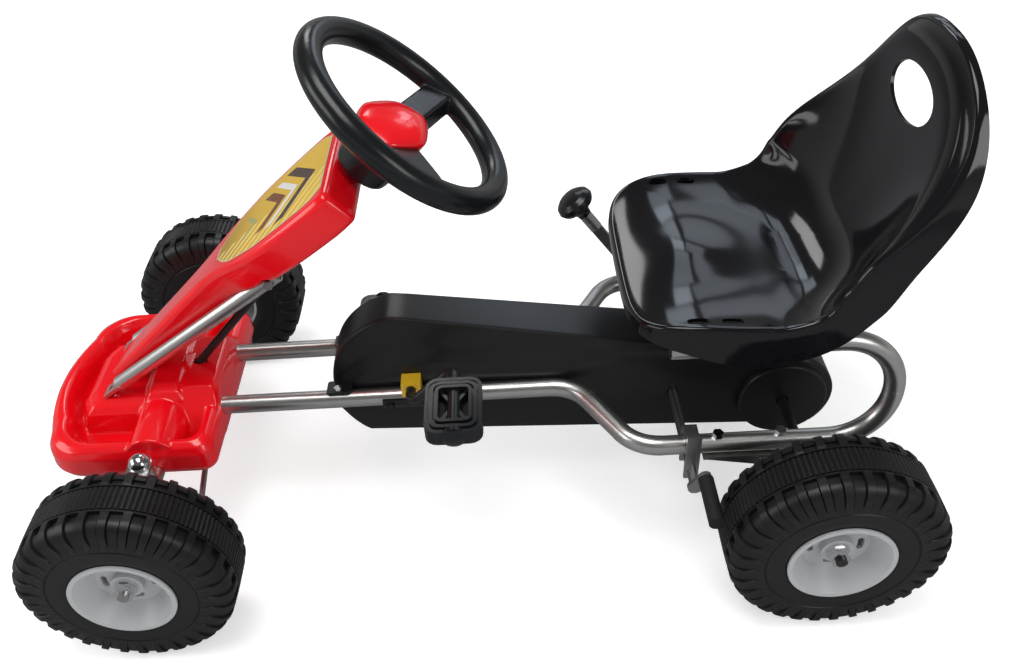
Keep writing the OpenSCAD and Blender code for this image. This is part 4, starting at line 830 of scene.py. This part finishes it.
def seat_place(i, j):
    """Shares u and v of the outline at a point of the square grid, and the length s along the seat."""
    u, v = squeeze(2 * i / SEAT_N - 1, 2 * j / SEAT_N - 1)
    return u, v, HALF_LEN + u * HALF_LEN


verts = []
for i in range(SEAT_N + 1):
    for j in range(SEAT_N + 1):
        u, v, s = seat_place(i, j)
        verts.append(seat_surface(s, v * SEAT["half"]))
faces = grid_faces(SEAT_N + 1, SEAT_N + 1)
edge = [(0, j) for j in range(SEAT_N)] + [(i, SEAT_N) for i in range(SEAT_N)]
edge += [(SEAT_N, j) for j in range(SEAT_N, 0, -1)] + [(i, 0) for i in range(SEAT_N, 0, -1)]
last = [i * (SEAT_N + 1) + j for i, j in edge]
ROLL = [(1.0, 0.1), (2.2, 0.5), (3.4, 1.3), (4.4, 2.5), (5.0, 4.2), (5.3, 6.5)]
SKIRT = [(5.4, share) for share in (0.25, 0.5, 0.75, 0.95, 1.0)]
for step, (out, down) in enumerate(ROLL + SKIRT):
    ring = []
    for i, j in edge:
        u, v, s = seat_place(i, j)
        along, normal = seat_axes(s)
        away = Vector((u, v)).normalized()
        depth = down if step < len(ROLL) else mix(ROLL[-1][1], seat_skirt(u, v, s), down)
        spread = out * (away.x * along + Vector((0, away.y, 0)))
        verts.append(seat_surface(s, v * SEAT["half"]) - normal * depth + spread)
        ring.append(len(verts) - 1)
    n = len(ring)
    faces += [(last[k], last[(k + 1) % n], ring[(k + 1) % n], ring[k]) for k in range(n)]
    last = ring
seat = outward(link_mesh("seat_shell", [v * MM for v in verts], faces))
if seat.data.polygons[SEAT_N * SEAT_N // 4].normal.z < 0:
    seat.data.flip_normals()
wall = seat.modifiers.new("wall", "SOLIDIFY")
wall.thickness, wall.offset = SEAT_WALL * MM, -1
bake(seat)
print("seat sheet", tri_count(seat))


# %% [markdown]
# The grip hole and the belt slots are cut after the wall is made, so their edges show the sheet's
# thickness.

# %% Seat openings
def prism(name, outline, at, x, y, z, depth):
    """A closed prism: an outline in its own X and Y, pushed through along Z both ways."""
    n = len(outline)
    verts = [(at + x * p[0] + y * p[1] + z * d) * MM for d in (-depth, depth) for p in outline]
    faces = grid_faces(2, n, close_cols=True) + [tuple(range(n))[::-1], tuple(range(n, 2 * n))]
    return outward(link_mesh(name, verts, faces, smooth=False))


def oval(w, h, n=64, power=2.0):
    """A closed outline: an ellipse at power 2, nearer to a rectangle at higher powers."""
    pts = []
    for t in circle(n):
        x, y = [math.copysign(abs(c) ** (2 / power), c) for c in (math.cos(t), math.sin(t))]
        pts.append((w / 2 * x, h / 2 * y))
    return pts


HOLE_SHARE, HOLE_W, HOLE_H, THROUGH = 0.71, 104, 54, 40
SLOT_W, SLOT_H, SLOTS = 11, 22, ((60, 137), (95, 138))
s_hole = BEND_END + SEAT["back"] * HOLE_SHARE
along, normal = seat_axes(s_hole)
tools = [prism("hole", oval(HOLE_W, HOLE_H), seat_mid(s_hole), LEFT, along, normal, THROUGH)]
for s, y in SLOTS:
    for side in (-1, 1):
        along, normal = seat_axes(s)
        at = seat_mid(s) + Vector((0, side * y, 0))
        tools.append(prism("slot", oval(SLOT_W, SLOT_H, 40, 3), at, LEFT, along, normal, THROUGH))
cut(seat, *tools)
seat.data.set_sharp_from_angle(angle=math.radians(50))
dress(seat, seat_black, "chassis", "seat")

# %% [markdown]
# Four bolts hold the pan on its crossbars. Their heads sit flush in the sheet, so their tops are drawn down
# into it.

# %% Seat bolts
BOLT_SINK = 1.2
bolts = copy_node("flush_bolts", "seat_bolts")
for v in bolts.data.vertices:
    s = SEAT_FRONT.x - v.co.x / MM
    v.co.z = min(v.co.z, (seat_surface(s, v.co.y / MM).z - BOLT_SINK) * MM)
dress(bolts, seat_black, "chassis", "seat_bolts")

# %% [markdown]
# ## Chain case
# Two mirrored black halves meet on the kart's middle plane and hide the chain. Seen from the side the
# outline is a big front circle and a small rear circle joined by straight lines. Each half is a stack of
# that outline, pushed outwards step by step: the upper part stays narrow and a shoulder swells below it.
# Corners of the stack's profile are rounded first, so that the shoulder catches a soft band of light.

# %% Case shape
CASE = {"front": Vector((78, 168)), "front_r": 95.0, "rear": Vector((-375, 115)), "rear_r": 63.0,
        "half": 36.0, "neck": 27.0, "sink": 57, "belly": 92}
CASE_HOLES = ((0.076, 0.1773, 0.0075), (-0.375, 0.115, 0.0075), (-0.24, 0.132, 0.007))
DRUM = [(20, 7.5), (20, 54), (43, 54), (44.6, 53.4), (45.6, 52.2), (46, 50), (46, 7.5)]
DRUM_SIDES = 72
EAR = [(150, 33), (176, 33), (178, 36), (178, 52), (175, 54), (152, 54), (148, 51), (148, 36)]
EAR_Z = 173.3


def polar(centre, r, degrees):
    """A point of a circle at an angle."""
    t = math.radians(degrees)
    return centre + r * Vector((math.cos(t), math.sin(t)))


def case_outline(inset):
    """The side view's outline, drawn in by an inset and flattened along its belly."""
    fr, rr = CASE["front_r"] - inset, CASE["rear_r"] - inset
    pts = [polar(CASE["front"], fr, a) for a in np.arange(-80, 81, 4)]
    a, b = polar(CASE["front"], fr, 82), polar(CASE["rear"], rr, 95)
    pts += [a.lerp(b, k / 28) for k in range(1, 28)]
    pts += [polar(CASE["rear"], rr, a) for a in np.arange(95, 264, 6)]
    a, b = CASE["rear"] - Vector((0, rr)), CASE["front"] - Vector((0, fr))
    pts += [a.lerp(b, k / 20) for k in range(1, 20)]
    return [Vector((p.x, max(p.y, CASE["belly"] + inset + (p.x - 100) * 0.05))) for p in pts]


def case_ring(inset, y_front, y_rear, sink):
    """The outline pushed out sideways, in front and at the rear, with its upper part sunk."""
    ring = []
    for p in case_outline(inset):
        rear = min(1, max(0, (CASE["front"].x - p.x) / (CASE["front"].x - CASE["rear"].x - 90)))
        high = smoothstep((p.y - 120) / 110)
        ring.append(Vector((p.x, mix(y_front, y_rear, rear), p.y - sink * mix(1, 0.15, rear) * high)))
    return ring


def round_corners(points, reach, steps=4):
    """A path through points whose corners are replaced by short curves."""
    pts = [Vector(p) for p in points]
    path = [pts[0]]
    for a, b, c in zip(pts, pts[1:], pts[2:]):
        r = [min(reach, (q - b).length * 0.45) for q in (a, c)]
        p0, p2 = b + (a - b).normalized() * r[0], b + (c - b).normalized() * r[1]
        for t in np.linspace(0, 1, steps + 1):
            path.append(p0 * (1 - t) ** 2 + b * 2 * t * (1 - t) + p2 * t ** 2)
    return path + [pts[-1]]


def case_half(name, side):
    """One half of the case, with its holes, the drum round the rear axle and the ear on the frame tube."""
    s, w, sink = CASE["neck"], CASE["half"], CASE["sink"]
    profile = [(0.9, 0.9, 0), (s - 3, w - 5, 0), (s, w - 2, 3), (s + 2, w - 1.5, 37), (w - 1.5, w - 0.5, 52),
               (w, w, sink)]
    rings = [case_ring(0, 0.02, 0.02, 0), case_ring(0, 0.4, 0.4, 0)]
    rings += [case_ring(0, p.x, p.y, p.z) for p in round_corners(profile, 4.0)]
    for inset in (0.8, 2.0):
        rings.append(case_ring(inset, w + 0.5 * inset, w + 0.5 * inset, sink))
    half = stack(name, [[Vector((p.x, side * p.y, p.z)) for p in r] for r in rings])
    cut(half, *[round_bar("hole", (x, side * 0.012, z), (x, side * 0.08, z), r) for x, z, r in CASE_HOLES])
    rear = CASE["rear"]
    spun = [Vector((rear.x + r * math.cos(t), side * y, rear.y + r * math.sin(t))) * MM
            for y, r in DRUM for t in circle(DRUM_SIDES)]
    drum_faces = grid_faces(len(DRUM), DRUM_SIDES, close_cols=True, close_rows=True)
    drum = outward(link_mesh("drum", spun, drum_faces))
    ear = prism("ear", EAR, Vector((0, 0, EAR_Z)), FORWARD, LEFT * side, UP, 2)
    return join(name, [half, drum, ear])


for side_name, side in (("left", 1), ("right", -1)):
    half = case_half("case_skin_" + side_name, side)
    half.data.set_sharp_from_angle(angle=math.radians(40))
    dress(half, case_black, "chassis", "chain_case_" + side_name)

# %% [markdown]
# ## Nose
# The red nose is a deep tray turned upside down: a rounded rim runs round a sunk floor and a drum bulges
# over the front axle. A low step carries the feet of the braces, a mound covers the steering foot, a box
# stands at the rear wall and a collar runs round the shaft. All of them are simple closed solids that run
# into each other. A voxel remesh melts them into one skin, a smoothing pass rounds every inner corner the
# way a mould would, and the open underside is trimmed off before the wall is given its thickness.

# %% Nose solids
NOSE = {"tip": 521.0, "rear": 303.0, "half": 132.0, "low": 134.0, "rear_round": 16, "round": 46, "bow": 16}
RIM_STEPS = [(3, 128), (3, 134), (0, 141), (1, 161), (5, 170), (12, 175), (18, 173), (22, 163), (25, 148),
             (29, 141)]
AXLE_DRUM_Z, AXLE_DRUM_R, AXLE_DRUM_HALF = 0.154, 0.031, 0.127
MOUND_PLAN = ((-1, -0.8), (-0.9, -1), (0.8, -1), (1, -0.6), (1, 0.6), (0.8, 1), (-0.9, 1), (-1, 0.8))
MOUNDS = {
    "rear box": [(128, 304.2, 362, 86), (145, 304.2, 360, 82), (166, 305, 358, 68), (175, 306, 357, 62),
                 (184, 308, 356, 54), (192, 312, 352, 46)],
    "foot cover": [(128, 340, 404, 62), (170, 342, 402, 62), (182, 346, 398, 59), (190, 350, 392, 54),
                   (195, 356, 386, 40)],
    "brace step": [(128, 362, 488, 67), (150, 362, 484, 66), (168, 364, 478, 64), (176, 368, 470, 58),
                   (181.5, 372, 460, 48)]}
COLUMN_TILT, WHEEL_MID, FOOT_Z = math.radians(47), Vector((46, 0, 504)), 177.3
column = Vector((-math.cos(COLUMN_TILT), 0, math.sin(COLUMN_TILT)))


def column_at(z):
    """The point of the steering column at a height."""
    return WHEEL_MID + column * ((z - WHEEL_MID.z) / column.z)


def nose_ring(inset, z):
    """The tray's outline: small rounds at the rear, large ones in front and a bowed tip."""
    w, tip, back, bow = NOSE["half"] - inset, NOSE["tip"] - inset, NOSE["rear"] + inset, NOSE["bow"]
    small, large = NOSE["rear_round"], NOSE["round"]
    half = []
    for a in np.radians(np.linspace(90, 0, 8)):
        half.append((back + small * (1 - math.sin(a)), w - small * (1 - math.cos(a))))
    for a in np.radians(np.linspace(90, 0, 14)):
        half.append((tip - bow - large * (1 - math.cos(a)), w - large * (1 - math.sin(a))))
    half += [(tip - bow * k * k, k * (w - large)) for k in (0.86, 0.7, 0.5, 0.3, 0.15)]
    ring = [Vector((x, y, z)) for x, y in half] + [Vector((tip, 0, z))]
    return ring + [Vector((x, -y, z)) for x, y in reversed(half)]


def mound(name, levels):
    """A solid that narrows upwards: each level is a height, its rear and front ends and its half width."""
    rings = []
    for z, x0, x1, half in levels:
        rings.append([Vector((x0 + (x1 - x0) / 2 * (1 + k * 0.98), y * half, z)) for k, y in MOUND_PLAN])
    return stack(name, rings)


solids = [stack("tray", [nose_ring(i, z) for i, z in RIM_STEPS])]
drum_ends = [(AXLE_X, side * AXLE_DRUM_HALF, AXLE_DRUM_Z) for side in (-1, 1)]
solids.append(round_bar("drum", *drum_ends, AXLE_DRUM_R, 64))
solids += [mound(name, levels) for name, levels in MOUNDS.items()]
foot = column_at(FOOT_Z)
solids.append(round_bar("collar", (foot - column * 8) * MM, (foot + column * 13) * MM, 0.017, 48))
print("nose solids:", [o.name for o in solids])
nose = join("nose_skin", solids)
soften(nose, 1.7 * MM, 6)

# %% [markdown]
# The melted block is cut open along its lower edge and given its wall. Ways are then drilled through the
# wall: one for the steering shaft, two at the rear for the frame tubes and two at the sides for the axle
# beam.

# %% Nose shell
NOSE_WALL, SHAFT_WAY, TUBE_WAY = 3, 0.0068, 0.0116
bm = bmesh.new()
bm.from_mesh(nose.data)
geom = bm.verts[:] + bm.edges[:] + bm.faces[:]
trim_at = (0, 0, (NOSE["low"] + 0.6) * MM)
bmesh.ops.bisect_plane(bm, geom=geom, plane_co=trim_at, plane_no=UP, clear_inner=True)
bm.to_mesh(nose.data)
bm.free()
wall = nose.modifiers.new("wall", "SOLIDIFY")
wall.thickness, wall.offset = NOSE_WALL * MM, -1
bake(nose)
ways = [round_bar("way", foot * MM, (foot + column * 40) * MM, SHAFT_WAY)]
for side in (-1, 1):
    ways.append(round_bar("way", (0.298, side * 0.048, 0.16), (0.315, side * 0.048, 0.16), TUBE_WAY))
    ways.append(round_bar("way", (AXLE_X, side * 0.12, 0.1377), (AXLE_X, side * 0.154, 0.1377), TUBE_WAY))
cut(nose, *ways)
shade_smooth(nose, 60)
dress(nose, red, "chassis", "nose_shell")

# %% [markdown]
# ## Column cover
# A slim red spine climbs from the nose and swells into a block under the steering wheel. It is a loft: each
# row gives a place along the ridge, a half width, and the heights of the top and bottom faces. Rows between
# the given ones follow a smooth curve, so the swelling has no kinks.

# %% Cover loft
RIDGE_FOOT, RIDGE_TILT = Vector((470, 0, 165)), math.radians(42.2)
RIDGE = Vector((-math.cos(RIDGE_TILT), 0, math.sin(RIDGE_TILT)))
RIDGE_UP = Vector((math.sin(RIDGE_TILT), 0, math.cos(RIDGE_TILT)))
COVER_END = 452
COVER_ROWS = [(4, 20, 2, -14), (60, 23, 3, -20), (150, 26, 4, -28), (225, 29, 5, -34), (262, 40, 5, -35),
              (300, 58, 3, -38), (340, 72, 0, -43), (420, 79, -6, -51), (COVER_END, 76, -9, -53)]


def on_ridge(u, y, m):
    """A point of the cover: u along its ridge, y to the left, m out of its upper face."""
    return RIDGE_FOOT + RIDGE * u + RIDGE_UP * m + Vector((0, y, 0))


def cover_row(u):
    """Half width, top and bottom at a place along the ridge, on a curve through the given rows."""
    k = max(i for i in range(len(COVER_ROWS) - 1) if COVER_ROWS[i][0] <= u + 1e-6)
    p1, p2 = np.array(COVER_ROWS[k], float), np.array(COVER_ROWS[k + 1], float)
    p0 = np.array(COVER_ROWS[max(0, k - 1)], float)
    p3 = np.array(COVER_ROWS[min(len(COVER_ROWS) - 1, k + 2)], float)
    h = p2[0] - p1[0]
    m1 = (p2 - p0) / (p2[0] - p0[0]) * h
    m2 = (p3 - p1) / (p3[0] - p1[0]) * h
    t = (u - p1[0]) / h
    q = (2 * t ** 3 - 3 * t ** 2 + 1) * p1 + (t ** 3 - 2 * t ** 2 + t) * m1
    q = q + (3 * t ** 2 - 2 * t ** 3) * p2 + (t ** 3 - t ** 2) * m2
    return q[1:]


def rounded_rect(w, h, r, n):
    """A rectangle's outline with round corners of n points each."""
    pts = []
    for c in range(4):
        sx, sy = (1 if c in (0, 3) else -1), (1 if c < 2 else -1)
        for i in range(n):
            a = math.radians(90 * (c + i / (n - 1)))
            pts.append((sx * (w / 2 - r) + r * math.cos(a), sy * (h / 2 - r) + r * math.sin(a)))
    return pts


END_ROUND = [(-3, 0.5), (-1, 1.5), (0.8, 3.4), (1.9, 6.0), (2.4, 9.0)]


def cover_loft(name, inset, low_extra, u_from, u_to):
    """The cover between two places; without an inset its upper end is rounded off."""
    rings = []
    ends = [] if inset else [(u_to + d, shrink) for d, shrink in END_ROUND]
    places = [(u, 0) for u in np.linspace(u_from, u_to - (0 if inset else 6), 60)] + ends
    for u, shrink in places:
        half, top, low = cover_row(min(COVER_END, max(4, u)))
        t = inset + shrink
        low = low - (low_extra if u < 280 else 0)
        ring = rounded_rect(2 * (half - t), top - low - 2 * t, max(2, 9 - inset), 9)
        rings.append([on_ridge(u, y, (top + low) / 2 + m) for y, m in ring])
    return stack(name, rings)


cover = cover_loft("cover_skin", 0, 0, 4, COVER_END - 2.5)
inner = cover_loft("inside", 3.5, 12, 1, COVER_END - 6)
print("cover", tri_count(cover), "and its inside", tri_count(inner), "triangles")

# %% [markdown]
# The inside is taken out of the cover, and the ways of the pieces that pass through it: two braces, the
# bracket between them, and the steering shaft with its bush. A flat cut lets the spine sit on the nose.

# %% Cover ways
BRACE_Y, BRACE_WAY, BRACKET_WAY = 40, 0.0096, 10
BUSH_WAY, COLUMN_WAY, COVER_LOW = 0.012, 0.006, 194.8
brace_low = Vector((424, BRACE_Y, 197))
brace_top = Vector((column_at(342).x + 8, BRACE_Y, 344))
brace_dir = (brace_top - brace_low).normalized()
tools = [inner]
for side in (-1, 1):
    ends = [Vector((p.x, side * BRACE_Y, p.z)) * MM
            for p in (brace_low - brace_dir * 30, brace_top + brace_dir * 4)]
    tools.append(round_bar("brace way", *ends, BRACE_WAY))
cross = brace_top - brace_dir * 10
hull = bmesh.new()
for y in (-0.07, 0.07):
    for k in (-0.2, 1):
        mid = Vector((cross.x + 22 * k, cross.z - 40 * k))
        for t in circle(24):
            x, z = mid.x + BRACKET_WAY * math.cos(t), mid.y + BRACKET_WAY * math.sin(t)
            hull.verts.new((x * MM, y, z * MM))
bmesh.ops.convex_hull(hull, input=hull.verts)
notch_mesh = bpy.data.meshes.new("notch")
hull.to_mesh(notch_mesh)
hull.free()
tools.append(add_object("notch", notch_mesh))
tools.append(round_bar("shaft way", column_at(160) * MM, (WHEEL_MID - column * 98) * MM, BUSH_WAY))
tools.append(round_bar("shaft way", column_at(160) * MM, (WHEEL_MID + column * 20) * MM, COLUMN_WAY))
below = [(175, -100), (575, -100), (575, 100), (175, 100)]
tools.append(prism("nose top", below, Vector((0, 0, COVER_LOW - 100)), FORWARD, LEFT, UP, 100))
cut(cover, *tools)
shade_smooth(cover, 40)
dress(cover, red, "chassis", "column_cover")

# %% [markdown]
# ## Printed panel
# A thin printed panel lies on the cover's broad face. Its own UV map runs along and across it, and the
# design is drawn with nodes: a gold ground that fades, slanted bars on one half, four chevrons and a pale
# border line. A second map holds the distance to the edge in millimetres, for the border.

# %% Panel mesh
PANEL = [(266, 8), (280, 30), (300, 46), (340, 60), (380, 65), (420, 67), (438, 62), (445, 52)]
PANEL_LEN = PANEL[-1][0] - PANEL[0][0]
us = np.linspace(PANEL[0][0], PANEL[-1][0], 80)
halves = np.interp(us, [p[0] for p in PANEL], [p[1] for p in PANEL])
kernel = np.ones(7) / 7
halves = np.convolve(np.pad(halves, 3, mode="edge"), kernel, mode="valid")
cols = 25
verts, uvs, edges = [], [], []
for u, half in zip(us, halves):
    top = cover_row(u)[1] + 0.25
    for t in np.linspace(-1, 1, cols):
        verts.append(on_ridge(u, t * half, top) * MM)
        uvs.append(((u - PANEL[0][0]) / PANEL_LEN, t * half / PANEL_LEN))
        edges.append((min(u - PANEL[0][0], PANEL[-1][0] - u), (1 - abs(t)) * half))
panel = link_mesh("printed_panel", verts, grid_faces(len(us), cols))
for label, pairs in (("panel", uvs), ("edge", edges)):
    layer = panel.data.uv_layers.new(name=label)
    for loop in panel.data.loops:
        layer.data[loop.index].uv = pairs[loop.vertex_index]
if panel.data.polygons[10].normal.dot(RIDGE_UP) < 0:
    panel.data.flip_normals()
print("panel", len(verts), "points,", PANEL_LEN, "mm long")

# %% [markdown]
# The print is built up in layers, from the ground to the rubbing on top. Each layer is a mask, made by sums
# on the two UV maps, and a colour that is blended in where the mask is one.

# %% Panel print
decal = bpy.data.materials.new("printed panel")
decal.use_nodes = True
dt = decal.node_tree
shader = dt.nodes["Principled BSDF"]
shader.inputs["Roughness"].default_value = 0.42
uv = dt.nodes.new("ShaderNodeUVMap")
uv.uv_map = "panel"
split = dt.nodes.new("ShaderNodeSeparateXYZ")
dt.links.new(uv.outputs["UV"], split.inputs[0])
along_uv, across_uv = split.outputs["X"], split.outputs["Y"]


def ramp_node(tree, fac, stops):
    """A colour that changes along a value, from stop to stop."""
    n = tree.nodes.new("ShaderNodeValToRGB")
    while len(n.color_ramp.elements) < len(stops):
        n.color_ramp.elements.new(0.5)
    for e, (pos, col) in zip(n.color_ramp.elements, stops):
        e.position, e.color = pos, (*col, 1)
    tree.links.new(fac, n.inputs["Fac"])
    return n.outputs["Color"]


side_way = math_node(dt, "ABSOLUTE", across_uv)
GOLD = [(0.0, (0.30, 0.18, 0.02)), (0.35, (0.55, 0.34, 0.03)), (1.0, (0.64, 0.41, 0.04))]
BAR_RATE, BAR_FROM, BARS_BEYOND = 62.0, 0.4, 0.05
ground = ramp_node(dt, along_uv, GOLD)
bars = math_node(dt, "SINE", math_node(dt, "MULTIPLY", math_node(dt, "ADD", along_uv, across_uv), BAR_RATE))
one_half = math_node(dt, "GREATER_THAN", across_uv, BARS_BEYOND)
bars = math_node(dt, "MULTIPLY", math_node(dt, "GREATER_THAN", bars, BAR_FROM), one_half)
drawn = blend(dt, bars, ground, (0.74, 0.57, 0.16))


def chevron(at, thick):
    """A mask for one V that points up the panel."""
    tip = math_node(dt, "ADD", along_uv, math_node(dt, "MULTIPLY", side_way, 0.8))
    away = math_node(dt, "ABSOLUTE", math_node(dt, "SUBTRACT", tip, at))
    return math_node(dt, "LESS_THAN", away, thick)


for at, thick, colour in ((0.86, 0.045, (0.06, 0.04, 0.03)), (0.72, 0.028, (0.62, 0.62, 0.60)),
                          (0.60, 0.040, (0.16, 0.05, 0.02)), (0.36, 0.022, (0.30, 0.31, 0.12))):
    within = math_node(dt, "LESS_THAN", side_way, at * 0.33)
    drawn = blend(dt, math_node(dt, "MULTIPLY", chevron(at, thick), within), drawn, colour)
margin = dt.nodes.new("ShaderNodeUVMap")
margin.uv_map = "edge"
margins = dt.nodes.new("ShaderNodeSeparateXYZ")
dt.links.new(margin.outputs["UV"], margins.inputs[0])
to_edge = math_node(dt, "MINIMUM", margins.outputs["X"], margins.outputs["Y"])
BORDER_MM = 2.2
drawn = blend(dt, math_node(dt, "LESS_THAN", to_edge, BORDER_MM), drawn, (0.50, 0.44, 0.30))
wear = group_node(dt, rub_group, Scale=60, Amount=0.2)
drawn = blend(dt, wear.outputs["Mask"], drawn, (0.5, 0.4, 0.2))
dt.links.new(drawn, shader.inputs["Base Color"])
dress(panel, decal, "chassis", "cover_decal")

# %% [markdown]
# ## Steering wheel
# Ring, two broad spokes and boss are one moulding. A spoke is a loft along its length: its upper face
# slopes up to a fold near the lower edge, and it dips from the ring to the boss. Overlapping closed solids
# are melted together by a voxel remesh, and a little smoothing gives the fillets that a mould needs.

# %% Steering wheel
RING_R, RING_TUBE, SPOKE_TURN, SHAFT_BORE = 116.0, 14.0, math.radians(22), 0.0052
RING_SIDES, TUBE_SIDES = 128, 32
SPOKE_SECTION = [(-20, -11), (-11.5, 7), (-9, 8), (19, -1), (19, -11), (-20, -15)]
BOSS = [(-82, 26), (-81, 29), (-78, 30.5), (-60, 33), (-28, 35), (-22, 34), (-20, 31)]
wheel_up = Vector((math.sin(COLUMN_TILT), 0, math.cos(COLUMN_TILT)))


def on_wheel(x, y, z):
    """A point of the wheel's own frame: X to the driver's left, Y up the ring, Z along the column."""
    return WHEEL_MID + Vector((0, x, 0)) + wheel_up * y + column * z


def spun(name, profile, sides=64):
    """A closed solid turned about the steering column, from points (height along the column, radius)."""
    rings = [[on_wheel(r * math.cos(t), r * math.sin(t), z) for t in circle(sides)] for z, r in profile]
    return stack(name, rings)


def spoke(side):
    """One spoke: its section moves out from the boss to the ring and rises on its way."""
    sin, cos = math.sin(SPOKE_TURN), math.cos(SPOKE_TURN)
    along, across = Vector((side * cos, -sin)), Vector((side * sin, cos))
    rings = []
    for k in np.linspace(0, 1, 9):
        r, lift = mix(6, RING_R, k), mix(-23, 1, smoothstep(k) * 0.4 + 0.6 * k)
        ring = []
        for v, h in SPOKE_SECTION:
            flat = along * r + across * v
            ring.append(on_wheel(flat.x, flat.y, lift + h * mix(1, 0.8, k)))
        rings.append(ring)
    return stack("spoke", rings)


torus = []
for t in circle(RING_SIDES):
    for a in circle(TUBE_SIDES):
        r = RING_R + RING_TUBE * math.cos(a)
        torus.append(on_wheel(r * math.cos(t), r * math.sin(t), RING_TUBE * math.sin(a)) * MM)
ring_faces = grid_faces(RING_SIDES, TUBE_SIDES, close_cols=True, close_rows=True)
solids = [outward(link_mesh("ring", torus, ring_faces))]
solids += [spoke(side) for side in (-1, 1)]
solids.append(spun("boss", BOSS))
wheel = soften(join("wheel_skin", solids), 1.4 * MM, 5)
cut(wheel, round_bar("shaft way", on_wheel(0, 0, -84) * MM, on_wheel(0, 0, -6) * MM, SHAFT_BORE))
shade_smooth(wheel, 60)
dress(wheel, grip_black, "steering", "steering_wheel")

# %% [markdown]
# The red hub cap is a crowned shield. Its lower edge stands high, in line with the folds of the spokes, and
# its face slopes away from the driver. Rings of one outline shrink towards the middle while they rise.

# %% Hub cap
CAP_OUTLINE = [(-26, -31), (26, -31), (41, -10), (49, 8), (37, 25), (17, 39), (-17, 39), (-37, 25), (-49, 8),
               (-41, -10)]
CAP_STEPS = [(0.96, -9), (0.985, -9), (1.0, -8), (1.0, -2.0), (0.992, -0.7), (0.975, 0.4), (0.94, 1.7),
             (0.85, 4.2), (0.7, 6.9), (0.5, 9.3), (0.3, 10.8), (0.12, 11.4)]


def smooth_ring(points, rounds=3):
    """A closed outline whose corners are cut again and again until it is round."""
    pts = [Vector(p) for p in points]
    for _ in range(rounds):
        new = []
        for a, b in zip(pts, pts[1:] + pts[:1]):
            new += [a.lerp(b, 0.22), a.lerp(b, 0.78)]
        pts = new
    return pts


def cap_base(y):
    """The height of the cap's edge along the column: high below, low above."""
    return mix(-4.5, -25, smoothstep((y + 34) / 72))


outline = smooth_ring(CAP_OUTLINE)
rings = []
for k, lift in CAP_STEPS:
    rings.append([on_wheel(p.x * k, p.y * k + 2 * (1 - k), cap_base(p.y * k) + lift) for p in outline])
cap = stack("cap_skin", rings)
cap.data.set_sharp_from_angle(angle=math.radians(50))
dress(cap, red, "steering", "hub_cap")

# %% End of the scene
print("scene built")
